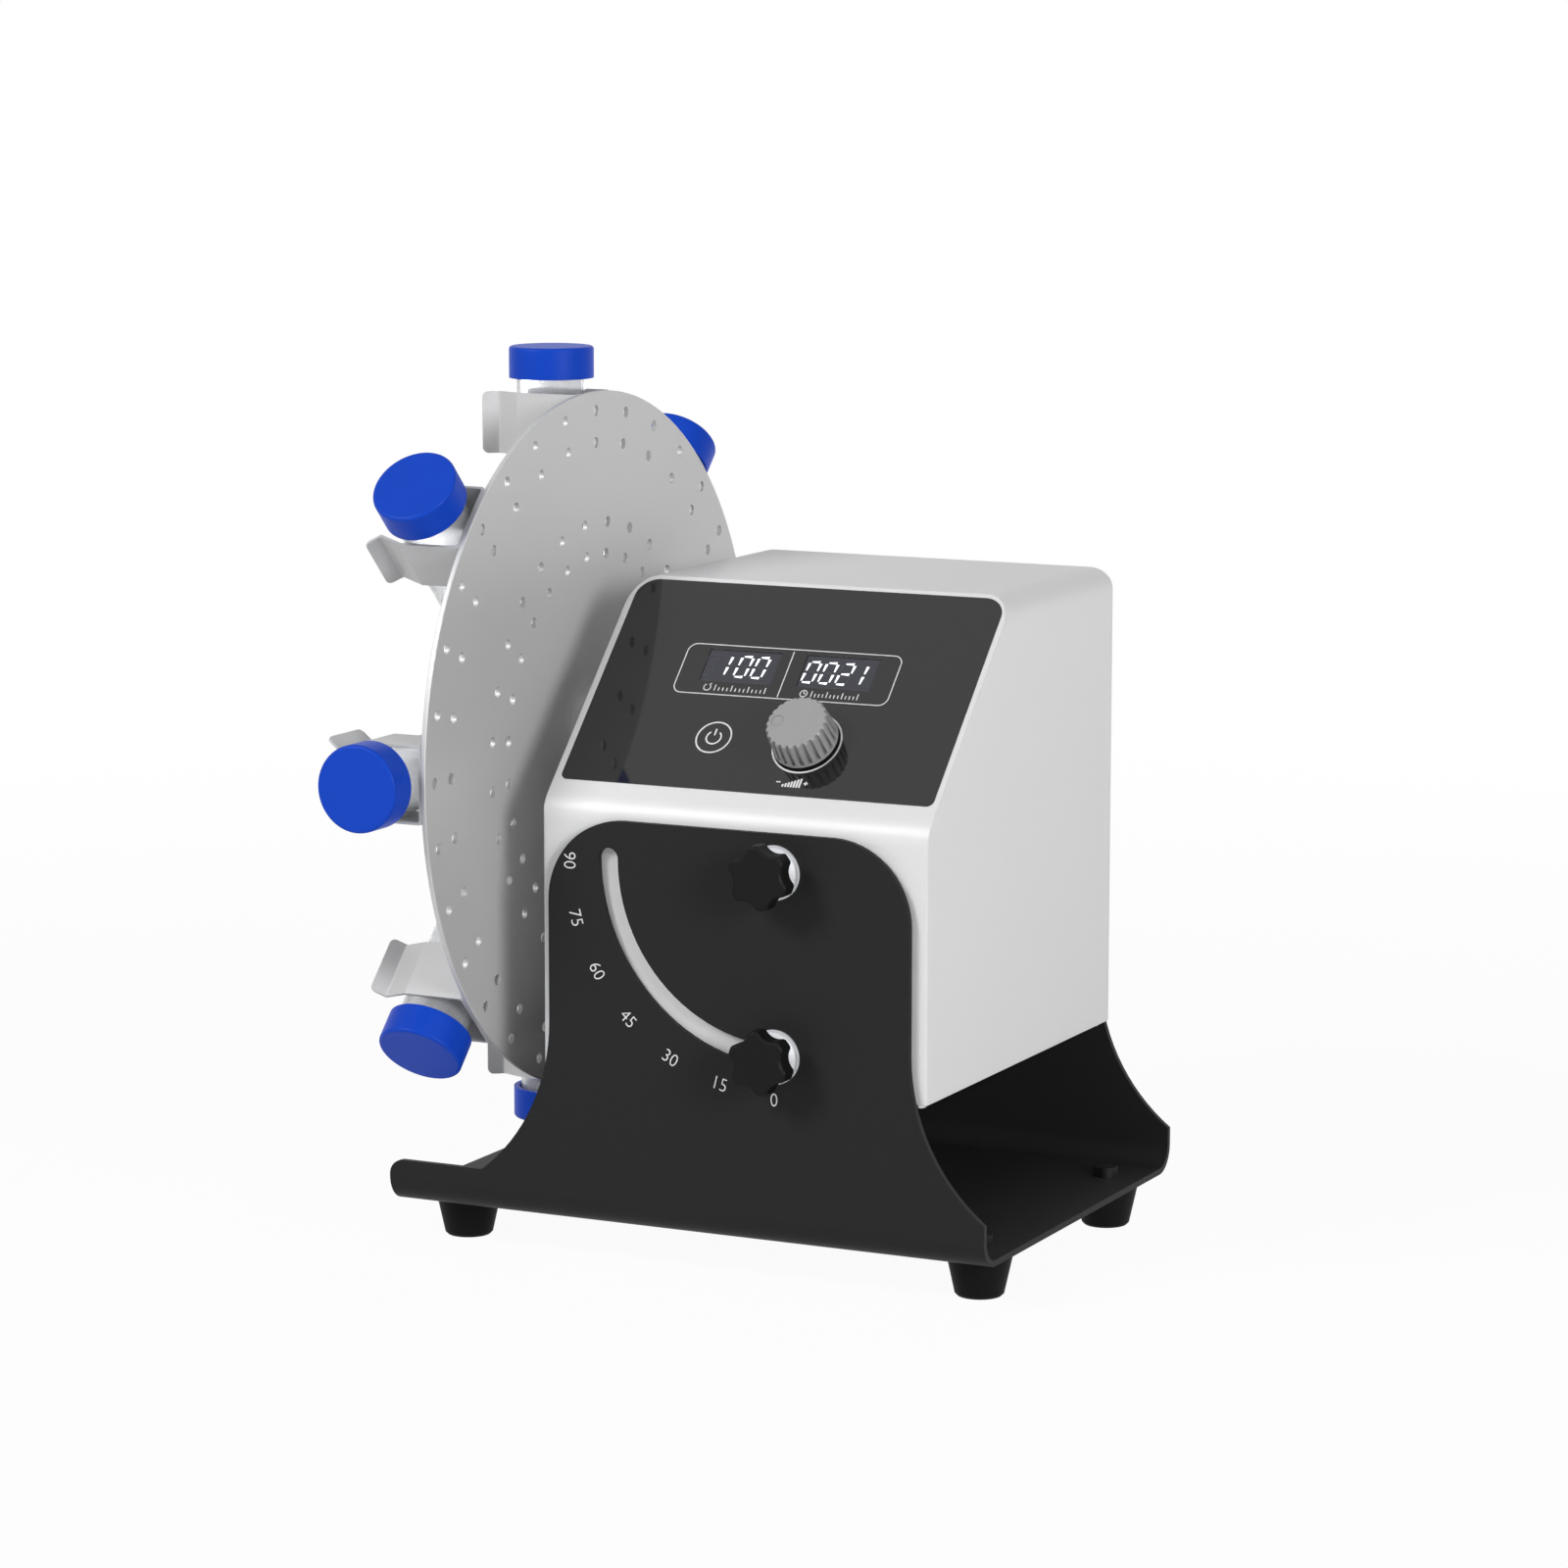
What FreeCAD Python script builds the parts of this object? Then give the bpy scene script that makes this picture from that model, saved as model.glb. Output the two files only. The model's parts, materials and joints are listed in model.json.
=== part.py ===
import FreeCAD, Part
import math
import os
from types import SimpleNamespace

import Sketcher
from FreeCAD import Placement, Rotation, Vector

# Tube rotator: a tilting drive housing between the uprights of a bent sheet stand,
# turning a perforated disc that carries capped tubes in spring clips.
# Millimetres. X runs from the disc to the housing, Y to the back, Z up. The origin
# lies on the bench under the middle of the whole object.

SIZES = {
    # stand, measured from the pivot axis
    "pivot_offset": 41.6,
    "rotor_clearance": 16.4,
    "sheet_gauge": 2.5,
    "bend_inside": 8.5,
    "stand_depth": 191.0,
    "base_left": 171.5,
    "base_right": 88.5,
    "lip_height": 17.8,
    "lip_length": 42.0,
    "lip_corner": 6.0,
    "upright_left": 98.5,
    "upright_right": 56.8,
    "upright_top": 15.0,
    "upright_corner": 33.0,
    "flare_drop": 67.0,
    "slot_radius": 72.0,
    "slot_width": 8.4,
    "pivot_clearance": 0.1,
    # feet
    "foot_height": 17.5,
    "foot_top_radius": 13.3,
    "foot_tip_radius": 9.7,
    "foot_edge": 1.0,
    "foot_recess_radius": 5.5,
    "foot_recess_depth": 9.0,
    "foot_inset_left": 18.5,
    "foot_inset_right": 15.5,
    "foot_inset_depth": 31.5,
    "foot_screw_radius": 2.5,
    "foot_head_radius": 4.4,
    "foot_head_height": 3.0,
    "foot_nut_radius": 5.0,
    "foot_nut_height": 4.0,
    "screw_play": 0.15,
    # housing, measured from the pivot axis
    "housing_gap": 1.0,
    "housing_left": 102.5,
    "housing_right": 62.8,
    "below_slot": 14.0,
    "housing_top": 101.0,
    "housing_wall": 3.0,
    "slope_start": 19.0,
    "slope_run": 80.5,
    "slope_bend": 14.0,
    "front_round": 0.8,
    "rear_round": 3.0,
    "roof_round": 11.0,
    "cover_gauge": 2.5,
    "cover_play": 0.2,
    "post_radius": 4.5,
    "post_inset": 3.0,
    "post_height": 24.0,
    "small_screw_radius": 1.5,
    "small_screw_length": 6.0,
    "small_head_radius": 2.8,
    "small_head_height": 2.0,
    # control panel, measured along and up the slope
    "panel_gauge": 1.6,
    "panel_play": 0.1,
    "panel_rim_left": 2.7,
    "panel_rim_right": 2.3,
    "panel_rim_top": 1.9,
    "panel_low": 12.5,
    "panel_top_corner": 9.0,
    "panel_low_corner": 3.0,
    "window_width": 31.4,
    "window_height": 15.5,
    "window_middle": 72.3,
    "window_left_at": 41.2,
    "window_right_at": 1.2,
    "window_play": 0.15,
    "window_sink": 0.3,
    "display_width": 36.0,
    "display_height": 20.0,
    "display_depth": 6.5,
    "board_gauge": 1.6,
    "board_left": 72.0,
    "board_right": 32.0,
    "board_low": 24.0,
    "board_high": 88.0,
    "board_hole_inset": 4.0,
    "board_post_radius": 3.0,
    # speed knob
    "knob_at": 0.7,
    "knob_up": 37.8,
    "knob_lift": 1.8,
    "knob_height": 12.0,
    "knob_base_radius": 13.3,
    "knob_face_radius": 12.4,
    "knob_rim": 1.2,
    "knob_bevel": 0.6,
    "knob_hollow_radius": 8.5,
    "knob_hollow_depth": 4.6,
    "flute_count": 24,
    "flute_width": 1.7,
    "flute_round": 0.95,
    "flute_depth": 0.9,
    "dimple_radius": 2.6,
    "dimple_depth": 0.4,
    "dimple_at": 8.0,
    "encoder_side": 12.4,
    "bush_radius": 3.5,
    "bush_height": 4.2,
    "bush_nut_radius": 5.6,
    "bush_nut_height": 2.0,
    "shaft_radius": 3.0,
    "shaft_play": 0.05,
    "shaft_in_knob": 11.0,
    "encoder_floor": 1.0,
    # clamp knobs
    "stud_radius": 4.0,
    "collar_radius": 10.7,
    "collar_flange": 1.5,
    "collar_cone_radius": 9.6,
    "collar_height": 4.0,
    "collar_taper": 40.0,
    "star_hub_radius": 7.5,
    "star_hub_height": 4.2,
    "star_radius": 12.6,
    "star_height": 7.8,
    "star_lobes": 6,
    "star_turn": 21.0,
    "scallop_radius": 6.5,
    "scallop_depth": 2.4,
    "star_bevel": 0.8,
    "stud_in_knob": 8.0,
    "insert_radius": 6.0,
    "insert_flange_radius": 9.0,
    "insert_flange": 3.0,
    "stud_end": 2.0,
    "bolt_flange_radius": 9.0,
    "bolt_flange": 1.5,
    "bolt_head_radius": 7.5,
    "bolt_head": 5.5,
    # drive, measured from the outer face of the left wall
    "rotor_rise": 31.0,
    "spigot_radius": 20.0,
    "block_flange_radius": 35.0,
    "block_flange": 6.0,
    "block_radius": 27.0,
    "block_length": 33.0,
    "bearing_radius": 14.0,
    "bearing_width": 8.0,
    "bearing_inset": 0.5,
    "bearing_lip": 2.0,
    "bearing_chamfer": 0.6,
    "flange_screw_circle": 30.5,
    "flange_screw_radius": 2.0,
    "flange_head_radius": 3.6,
    "flange_head_height": 2.4,
    "motor_screw_circle": 18.5,
    "motor_head_radius": 2.75,
    "motor_head_height": 3.0,
    "motor_screw_bite": 6.0,
    "drive_screw_count": 4,
    "gearbox_radius": 22.5,
    "gearbox_length": 24.0,
    "motor_radius": 18.5,
    "motor_length": 46.0,
    "motor_boss_radius": 6.0,
    "motor_boss": 3.0,
    "motor_shaft_radius": 4.0,
    "motor_shaft_in": 12.0,
    "motor_shaft_out": 18.0,
    "spindle_radius": 6.0,
    "spindle_collar_radius": 8.0,
    "spindle_collar": 5.0,
    "collar_play": 0.3,
    # rotor
    "rotor_gap": 24.6,
    "disc_gauge": 2.0,
    "disc_radius": 141.8,
    "disc_edge": 0.3,
    "ring_edge": 7.8,
    "ring_pitch": 13.0,
    "third_ring": 88.5,
    "holes_per_tube": 4,
    "inner_count": 28,
    "disc_hole_radius": 2.2,
    "hub_flange_radius": 25.5,
    "hub_flange": 4.0,
    "hub_radius": 14.0,
    "hub_fillet": 4.0,
    "hub_screw_circle": 18.0,
    "hub_screw_radius": 2.0,
    "hub_screw_length": 5.5,
    "hub_head_radius": 3.6,
    "hub_head_height": 2.4,
    # clips
    "clip_gauge": 1.0,
    "clip_edge": 0.5,
    "clip_length": 25.0,
    "clip_play": 0.3,
    "clip_hold": 7.7,
    "clip_slope": 10.0,
    "clip_waist": 3.55,
    "clip_lip": 5.5,
    "clip_flare": 4.6,
    "clip_bend": 1.2,
    "clip_corner": 2.5,
    "clip_head_radius": 3.6,
    "clip_head_height": 2.2,
    "clip_screw_radius": 2.0,
    "clip_screw_sink": 0.6,
    # tubes
    "tube_count": 8,
    "tube_seat": 3.15,
    "tube_radius": 14.15,
    "tube_wall": 1.2,
    "tube_length": 113.5,
    "tube_cone": 15.0,
    "tube_tip_radius": 3.2,
    "thread_rise": 0.75,
    "thread_start": 1.5,
    "thread_length": 8.0,
    "cap_clear": 5.5,
    "cap_wall": 2.25,
    "cap_top": 1.5,
    "cap_skirt": 11.3,
    "cap_play": 0.1,
    "cap_edge": 1.3,
    # rear panel parts, measured from the pivot axis
    "switch_left": 45.0,
    "switch_up": 60.0,
    "inlet_left": 75.0,
    "inlet_up": 60.0,
    "switch_half_width": 6.5,
    "switch_half_height": 9.6,
    "bezel_rim": 1.2,
    "bezel_gauge": 1.8,
    "switch_depth": 16.0,
    "rocker_half_width": 4.6,
    "rocker_half_height": 7.2,
    "rocker_play": 0.5,
    "rocker_rise": 2.4,
    "rocker_dip": 1.1,
    "rocker_root": 3.5,
    "rocker_root_half": 3.6,
    "rocker_tilt": 8.0,
    "rocker_well": 6.0,
    "inlet_flange_radius": 7.0,
    "inlet_flange": 1.8,
    "inlet_radius": 5.5,
    "inlet_depth": 14.0,
    "inlet_bore": 3.2,
    "inlet_bore_depth": 9.5,
    "inlet_pin": 1.0,
}

doc = FreeCAD.newDocument("TubeRotator")


class Size:
    """A length or number that knows its value and its expression in the sheet."""

    def __init__(self, value, text):
        self.value = float(value)
        self.text = text

    def __add__(self, other):
        other = as_size(other)
        return Size(self.value + other.value, f"({self.text} + {other.text})")

    def __sub__(self, other):
        other = as_size(other)
        return Size(self.value - other.value, f"({self.text} - {other.text})")

    def __mul__(self, other):
        other = as_size(other)
        return Size(self.value * other.value, f"({self.text} * {other.text})")

    def __truediv__(self, other):
        other = as_size(other)
        return Size(self.value / other.value, f"({self.text} / {other.text})")

    def __rsub__(self, other):
        return as_size(other) - self

    def __rtruediv__(self, other):
        return as_size(other) / self

    def __neg__(self):
        return Size(-self.value, f"(-1 * {self.text})")

    __radd__ = __add__
    __rmul__ = __mul__


def as_size(thing):
    if isinstance(thing, Size):
        return thing
    return Size(thing, repr(float(thing)))


def root(number):
    return Size(math.sqrt(number.value), f"sqrt({number.text})")


def sine(degrees):
    return Size(math.sin(math.radians(degrees.value)), f"sin({degrees.text})")


def cosine(degrees):
    return Size(math.cos(math.radians(degrees.value)), f"cos({degrees.text})")


def slope_of(rise, run):
    return Size(math.degrees(math.atan2(rise.value, run.value)), f"atan({rise.text} / {run.text})")


def write_sheet():
    sheet = doc.addObject("Spreadsheet::Sheet", "Sizes")
    for row, (name, value) in enumerate(SIZES.items(), start=1):
        sheet.set(f"A{row}", name)
        sheet.set(f"B{row}", str(value))
        sheet.setAlias(f"B{row}", name)
    doc.recompute()
    return SimpleNamespace(**{name: Size(value, f"Sizes.{name}") for name, value in SIZES.items()})


s = write_sheet()


def bind(thing, prop, size):
    size = as_size(size)
    if "Sizes." in size.text:
        thing.setExpression(prop, size.text)


def values(point):
    return Vector(*[as_size(part).value for part in point])


def put(thing, prop, at, turn):
    """Places a body or a sketch; turn is None or an axis and an angle in degrees."""
    rotation = Rotation()
    if turn:
        rotation = Rotation(turn[0], as_size(turn[1]).value)
    setattr(thing, prop, Placement(values(at), rotation))
    for letter, part in zip("xyz", at):
        bind(thing, f"{prop}.Base.{letter}", part)
    if turn:
        bind(thing, f"{prop}.Rotation.Angle", turn[1])


def new_body(label, at, turn=None):
    body = doc.addObject("PartDesign::Body", label)
    body.Label = label
    body.AllowCompound = True
    put(body, "Placement", at, turn)
    return body


def origin_part(body, role):
    return next(part for part in body.Origin.OriginFeatures if part.Role == role)


def new_sketch(body, plane, at=(0, 0, 0), turn=None):
    """A sketch on an origin plane; at is along its own two axes and its normal."""
    sketch = body.newObject("Sketcher::SketchObject", body.Label + "_sketch")
    sketch.AttachmentSupport = [(origin_part(body, plane + "_Plane"), "")]
    sketch.MapMode = "FlatFace"
    put(sketch, "AttachmentOffset", at, turn)
    return sketch


def pin_point(sketch, geometry, end, point):
    for kind, line, size in (("DistanceX", -2, as_size(point[0])), ("DistanceY", -1, as_size(point[1]))):
        if size.value == 0:
            sketch.addConstraint(Sketcher.Constraint("PointOnObject", geometry, end, line))
            continue
        index = sketch.addConstraint(Sketcher.Constraint(kind, -1, 1, geometry, end, size.value))
        bind(sketch, f"Constraints[{index}]", size)


def draw_circle(sketch, point, radius):
    radius = as_size(radius)
    x, y = (as_size(part).value for part in point)
    circle = Part.Circle(Vector(x, y, 0), Vector(0, 0, 1), radius.value)
    geometry = sketch.addGeometry(circle)
    pin_point(sketch, geometry, 3, point)
    index = sketch.addConstraint(Sketcher.Constraint("Radius", geometry, radius.value))
    bind(sketch, f"Constraints[{index}]", radius)


def arc_between(start, end, radius, left):
    """The short arc of that radius, its centre to the left or right of the way."""
    chord = end - start
    away = Vector(-chord.y, chord.x, 0) * ((1 if left else -1) / chord.Length)
    centre = (start + end) * 0.5 + away * math.sqrt(max(radius**2 - chord.Length**2 / 4, 0))
    first, last = (start, end) if left else (end, start)
    angles = [math.atan2(p.y - centre.y, p.x - centre.x) for p in (first, last)]
    return Part.ArcOfCircle(Part.Circle(centre, Vector(0, 0, 1), radius), *angles)


def draw_outline(sketch, points, arcs=None):
    """A closed outline; arcs maps a side's number to its radius and turning hand."""
    arcs = arcs or {}
    corners = [Vector(as_size(x).value, as_size(y).value, 0) for x, y in points]
    ends = []
    for side, (start, end) in enumerate(zip(corners, corners[1:] + corners[:1])):
        if side in arcs:
            radius, hand = as_size(arcs[side][0]), arcs[side][1]
            geometry = sketch.addGeometry(arc_between(start, end, radius.value, hand == "left"))
            ends.append((geometry, 1, 2) if hand == "left" else (geometry, 2, 1))
        else:
            geometry = sketch.addGeometry(Part.LineSegment(start, end))
            ends.append((geometry, 1, 2))
    for before, after in zip(ends, ends[1:] + ends[:1]):
        sketch.addConstraint(Sketcher.Constraint("Coincident", before[0], before[2], after[0], after[1]))
    for (geometry, first, _), point in zip(ends, points):
        pin_point(sketch, geometry, first, point)
    for side, (radius, _) in arcs.items():
        radius = as_size(radius)
        index = sketch.addConstraint(Sketcher.Constraint("Radius", ends[side][0], radius.value))
        bind(sketch, f"Constraints[{index}]", radius)


def draw_box(sketch, low, high):
    draw_outline(sketch, [low, (high[0], low[1]), high, (low[0], high[1])])


def draw_rounded(sketch, low, high, low_corner, high_corner):
    """A box with one rounding at its two lower corners and one at its upper two."""
    (x0, y0), (x1, y1) = low, high
    a, b = low_corner, high_corner
    points = [(x0 + a, y0), (x1 - a, y0), (x1, y0 + a), (x1, y1 - b)]
    points += [(x1 - b, y1), (x0 + b, y1), (x0, y1 - b), (x0, y0 + a)]
    draw_outline(sketch, points, {1: (a, "left"), 3: (b, "left"), 5: (b, "left"), 7: (a, "left")})


def extrude(kind, body, sketch, length, reverse=False, taper=None):
    feature = body.newObject("PartDesign::" + kind, f"{body.Label}_{kind}")
    feature.Profile = sketch
    feature.Length = as_size(length).value
    bind(feature, "Length", length)
    feature.Reversed = reverse
    if taper:
        feature.TaperAngle = as_size(taper).value
        bind(feature, "TaperAngle", taper)
    body.Tip = feature
    return feature


def pad(body, sketch, length, reverse=False, taper=None):
    return extrude("Pad", body, sketch, length, reverse, taper)


def pocket(body, sketch, length, reverse=False):
    return extrude("Pocket", body, sketch, length, reverse)


def revolve(body, sketch, axis):
    feature = body.newObject("PartDesign::Revolution", body.Label + "_turned")
    feature.Profile = sketch
    feature.ReferenceAxis = (sketch, [axis])
    feature.Angle = 360
    body.Tip = feature
    return feature


def repeat(body, features, axis, count):
    pattern = body.newObject("PartDesign::PolarPattern", body.Label + "_pattern")
    pattern.Originals = features
    pattern.Axis = (origin_part(body, axis + "_Axis"), [""])
    pattern.Angle = 360
    pattern.Occurrences = int(count.value)
    bind(pattern, "Occurrences", count)
    body.Tip = pattern
    return pattern


def soften(kind, prop, body, size, chosen):
    doc.recompute()
    base = body.Tip
    names = [f"Edge{number}" for number, edge in enumerate(base.Shape.Edges, start=1) if chosen(edge)]
    if not names:
        raise RuntimeError(f"{body.Label}: no edge to soften")
    feature = body.newObject("PartDesign::" + kind, f"{body.Label}_{kind}")
    feature.Base = (base, names)
    setattr(feature, prop, as_size(size).value)
    bind(feature, prop, size)
    body.Tip = feature
    return feature


def fillet(body, radius, chosen):
    return soften("Fillet", "Radius", body, radius, chosen)


def chamfer(body, size, chosen):
    return soften("Chamfer", "Size", body, size, chosen)


def middle(edge):
    return edge.valueAt((edge.FirstParameter + edge.LastParameter) / 2)


def runs_along(edge, axis):
    if edge.Curve.TypeId != "Part::GeomLine":
        return False
    way = edge.Curve.Direction
    return abs(getattr(way, axis)) > 0.999


def near(value, size):
    return abs(value - as_size(size).value) < 0.01


# Shared places, all from the sheet.
half_depth = s.stand_depth / 2
outer_ring = s.disc_radius - s.ring_edge
second_ring = outer_ring - s.ring_pitch
inner_ring = s.third_ring - s.ring_pitch
clip_end = s.disc_radius - s.clip_edge
thread_radius = s.tube_radius + s.thread_rise
cap_radius = thread_radius + s.cap_play + s.cap_wall
tube_mouth = clip_end + s.cap_clear + s.cap_skirt
rotor_reach = tube_mouth + s.cap_top
base_drop = rotor_reach - s.rotor_rise + s.rotor_clearance + s.sheet_gauge
pivot_height = s.foot_height + base_drop
pivot_at = (s.pivot_offset, 0, pivot_height)
housing_half = half_depth - s.sheet_gauge - s.housing_gap
housing_low = s.slot_radius + s.below_slot
disc_face = s.housing_left + s.rotor_gap
slope_rise = s.housing_top - s.slope_start
slope_length = root(s.slope_run * s.slope_run + slope_rise * slope_rise)
slope_angle = slope_of(slope_rise, s.slope_run)
slope_turn = (Vector(1, 0, 0), slope_angle)
slope_in_pivot = (0, -housing_half, s.slope_start)
rotor_height = pivot_height + s.rotor_rise
wall_at = (s.pivot_offset - s.housing_left, 0, rotor_height)
disc_at = (s.pivot_offset - disc_face - s.disc_gauge, 0, rotor_height)
foot_left = s.base_left - s.foot_inset_left
foot_right = s.base_right - s.foot_inset_right
foot_spread = half_depth - s.foot_inset_depth
foot_places = {
    "foot_front_left": (-foot_left, -foot_spread),
    "foot_front_right": (foot_right, -foot_spread),
    "foot_rear_left": (-foot_left, foot_spread),
    "foot_rear_right": (foot_right, foot_spread),
}
post_x = (-(s.housing_left - s.housing_wall - s.post_inset), s.housing_right - s.housing_wall - s.post_inset)
post_y = housing_half - s.housing_wall - s.post_inset
post_places = [(x, y) for x in post_x for y in (-post_y, post_y)]
panel_left = s.housing_left - s.panel_rim_left
panel_right = s.housing_right - s.panel_rim_right
panel_high = slope_length - s.panel_rim_top
window_places = (-s.window_left_at, s.window_right_at)
board_front = s.panel_gauge + s.display_depth
board_places = [
    (x, y)
    for x in (-s.board_left + s.board_hole_inset, s.board_right - s.board_hole_inset)
    for y in (s.board_low + s.board_hole_inset, s.board_high - s.board_hole_inset)
]
knob_places = ((0, 0), (0, -s.slot_radius))
block_end = s.housing_wall + s.block_length
star_turn = (Vector(0, 1, 0), s.star_turn)
tube_offset = s.clip_gauge + s.tube_seat + s.tube_radius
tube_middle = disc_face + s.disc_gauge + tube_offset
tube_axis_at = (s.pivot_offset - tube_middle, 0, rotor_height)
tube_step = 360 / s.tube_count


def make_stand_frame():
    body = new_body("stand_frame", pivot_at)
    left, right, low = -s.base_left, s.base_right, -base_drop
    lip = low + s.lip_height
    foot_of_flare = left + s.lip_length
    flare_high = s.flare_drop
    flare_fall = -lip - flare_high

    def flare_radius(reach):
        return (reach * reach + flare_fall * flare_fall) / (2 * reach)

    corner = s.upright_corner
    points = [
        (left, low),
        (right, low),
        (right, lip),
        (s.upright_right, -flare_high),
        (s.upright_right, s.upright_top - corner),
        (s.upright_right - corner, s.upright_top),
        (corner - s.upright_left, s.upright_top),
        (-s.upright_left, s.upright_top - corner),
        (-s.upright_left, -flare_high),
        (foot_of_flare, lip),
        (left, lip),
    ]
    arcs = {
        2: (flare_radius(right - s.upright_right), "right"),
        4: (corner, "left"),
        6: (corner, "left"),
        8: (flare_radius(-s.upright_left - foot_of_flare), "right"),
    }
    outline = new_sketch(body, "XZ", (0, 0, half_depth))
    draw_outline(outline, points, arcs)
    pad(body, outline, s.stand_depth, reverse=True)

    # the open channel between the two uprights, with the bend's inner radius
    inside = half_depth - s.sheet_gauge
    floor = low + s.sheet_gauge
    above = s.upright_top + s.sheet_gauge
    channel = new_sketch(body, "YZ", (0, 0, right + s.sheet_gauge))
    draw_outline(
        channel,
        [
            (-inside, above),
            (-inside, floor + s.bend_inside),
            (s.bend_inside - inside, floor),
            (inside - s.bend_inside, floor),
            (inside, floor + s.bend_inside),
            (inside, above),
        ],
        {1: (s.bend_inside, "left"), 3: (s.bend_inside, "left")},
    )
    pocket(body, channel, s.base_left + s.base_right + 2 * s.sheet_gauge)
    fillet(
        body,
        s.bend_inside + s.sheet_gauge,
        lambda edge: runs_along(edge, "x")
        and near(middle(edge).z, low)
        and near(abs(middle(edge).y), half_depth),
    )
    fillet(
        body,
        s.lip_corner,
        lambda edge: runs_along(edge, "y") and near(middle(edge).x, left) and near(middle(edge).z, lip),
    )

    # the front upright's quarter slot, and the pivot's two holes
    thick = s.sheet_gauge * 2
    slot = new_sketch(body, "XZ", (0, 0, half_depth + s.sheet_gauge / 2))
    inner, outer = s.slot_radius - s.slot_width / 2, s.slot_radius + s.slot_width / 2
    draw_outline(
        slot,
        [(0, -inner), (0, -outer), (-outer, 0), (-inner, 0)],
        {1: (outer, "right"), 3: (inner, "left")},
    )
    pocket(body, slot, thick)
    ends = new_sketch(body, "XZ", (0, 0, half_depth + s.sheet_gauge / 2))
    draw_circle(ends, (0, -s.slot_radius), s.slot_width / 2)
    draw_circle(ends, (-s.slot_radius, 0), s.slot_width / 2)
    pocket(body, ends, thick)
    pivots = new_sketch(body, "XZ", (0, 0, half_depth + s.sheet_gauge / 2))
    draw_circle(pivots, (0, 0), s.stud_radius + s.pivot_clearance)
    pocket(body, pivots, s.stand_depth + s.sheet_gauge)

    holes = new_sketch(body, "XY", (0, 0, floor + s.sheet_gauge / 2))
    for place in foot_places.values():
        draw_circle(holes, place, s.foot_screw_radius + s.screw_play)
    pocket(body, holes, thick)
    return body


def make_feet():
    feet = []
    bore = s.foot_screw_radius + s.screw_play
    for label, (x, y) in foot_places.items():
        body = new_body(label, (s.pivot_offset + x, y, 0))
        profile = new_sketch(body, "XZ")
        draw_outline(
            profile,
            [
                (bore, s.foot_recess_depth),
                (s.foot_recess_radius, s.foot_recess_depth),
                (s.foot_recess_radius, 0),
                (s.foot_tip_radius - s.foot_edge, 0),
                (s.foot_tip_radius, s.foot_edge),
                (s.foot_top_radius, s.foot_height),
                (bore, s.foot_height),
            ],
        )
        revolve(body, profile, "V_Axis")
        feet.append(body)
    return feet


def make_foot_screws():
    body = new_body("foot_screws", (s.pivot_offset, 0, s.foot_recess_depth))
    heads = new_sketch(body, "XY")
    shanks = new_sketch(body, "XY")
    sockets = new_sketch(body, "XY", (0, 0, -s.foot_head_height))
    for place in foot_places.values():
        draw_circle(heads, place, s.foot_head_radius)
        draw_circle(shanks, place, s.foot_screw_radius)
        draw_circle(sockets, place, s.foot_screw_radius * 0.6)
    pad(body, heads, s.foot_head_height, reverse=True)
    pad(body, shanks, s.foot_height - s.foot_recess_depth + s.sheet_gauge + s.foot_nut_height)
    pocket(body, sockets, s.foot_head_height / 2, reverse=True)
    return body


def make_foot_nuts():
    body = new_body("foot_nuts", (s.pivot_offset, 0, s.foot_height + s.sheet_gauge))
    rings = new_sketch(body, "XY")
    for place in foot_places.values():
        draw_circle(rings, place, s.foot_nut_radius)
        draw_circle(rings, place, s.foot_screw_radius + s.screw_play / 2)
    pad(body, rings, s.foot_nut_height)
    return body


def spandrel(sketch, x, y, radius, x_hand, y_hand):
    """The corner outside a rounding: what it takes off a square corner."""
    points = [(x, y), (x + radius * x_hand, y), (x, y + radius * y_hand)]
    draw_outline(sketch, points, {1: (radius, "left" if x_hand * y_hand < 0 else "right")})


def make_housing_core():
    """The moulding core: the hollow inside the walls, open below."""
    core = new_body("housing_core", (0, 0, 0))
    low, high, wall, half = -housing_low, s.housing_top, s.housing_wall, housing_half
    per_run = slope_length / s.slope_run
    slope_in = s.slope_start + wall * slope_rise / s.slope_run - wall * per_run
    roof_in = (high - wall - s.slope_start + wall * per_run) * s.slope_run / slope_rise - half
    side = new_sketch(core, "YZ", (0, 0, wall - s.housing_left))
    draw_outline(
        side,
        [
            (wall - half, low - wall),
            (half - wall, low - wall),
            (half - wall, high - wall),
            (roof_in, high - wall),
            (wall - half, slope_in),
        ],
    )
    pad(core, side, s.housing_left + s.housing_right - 2 * wall)
    fillet(
        core,
        s.roof_round - wall,
        lambda edge: runs_along(edge, "y") and near(middle(edge).z, high - wall),
    )
    return core


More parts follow.
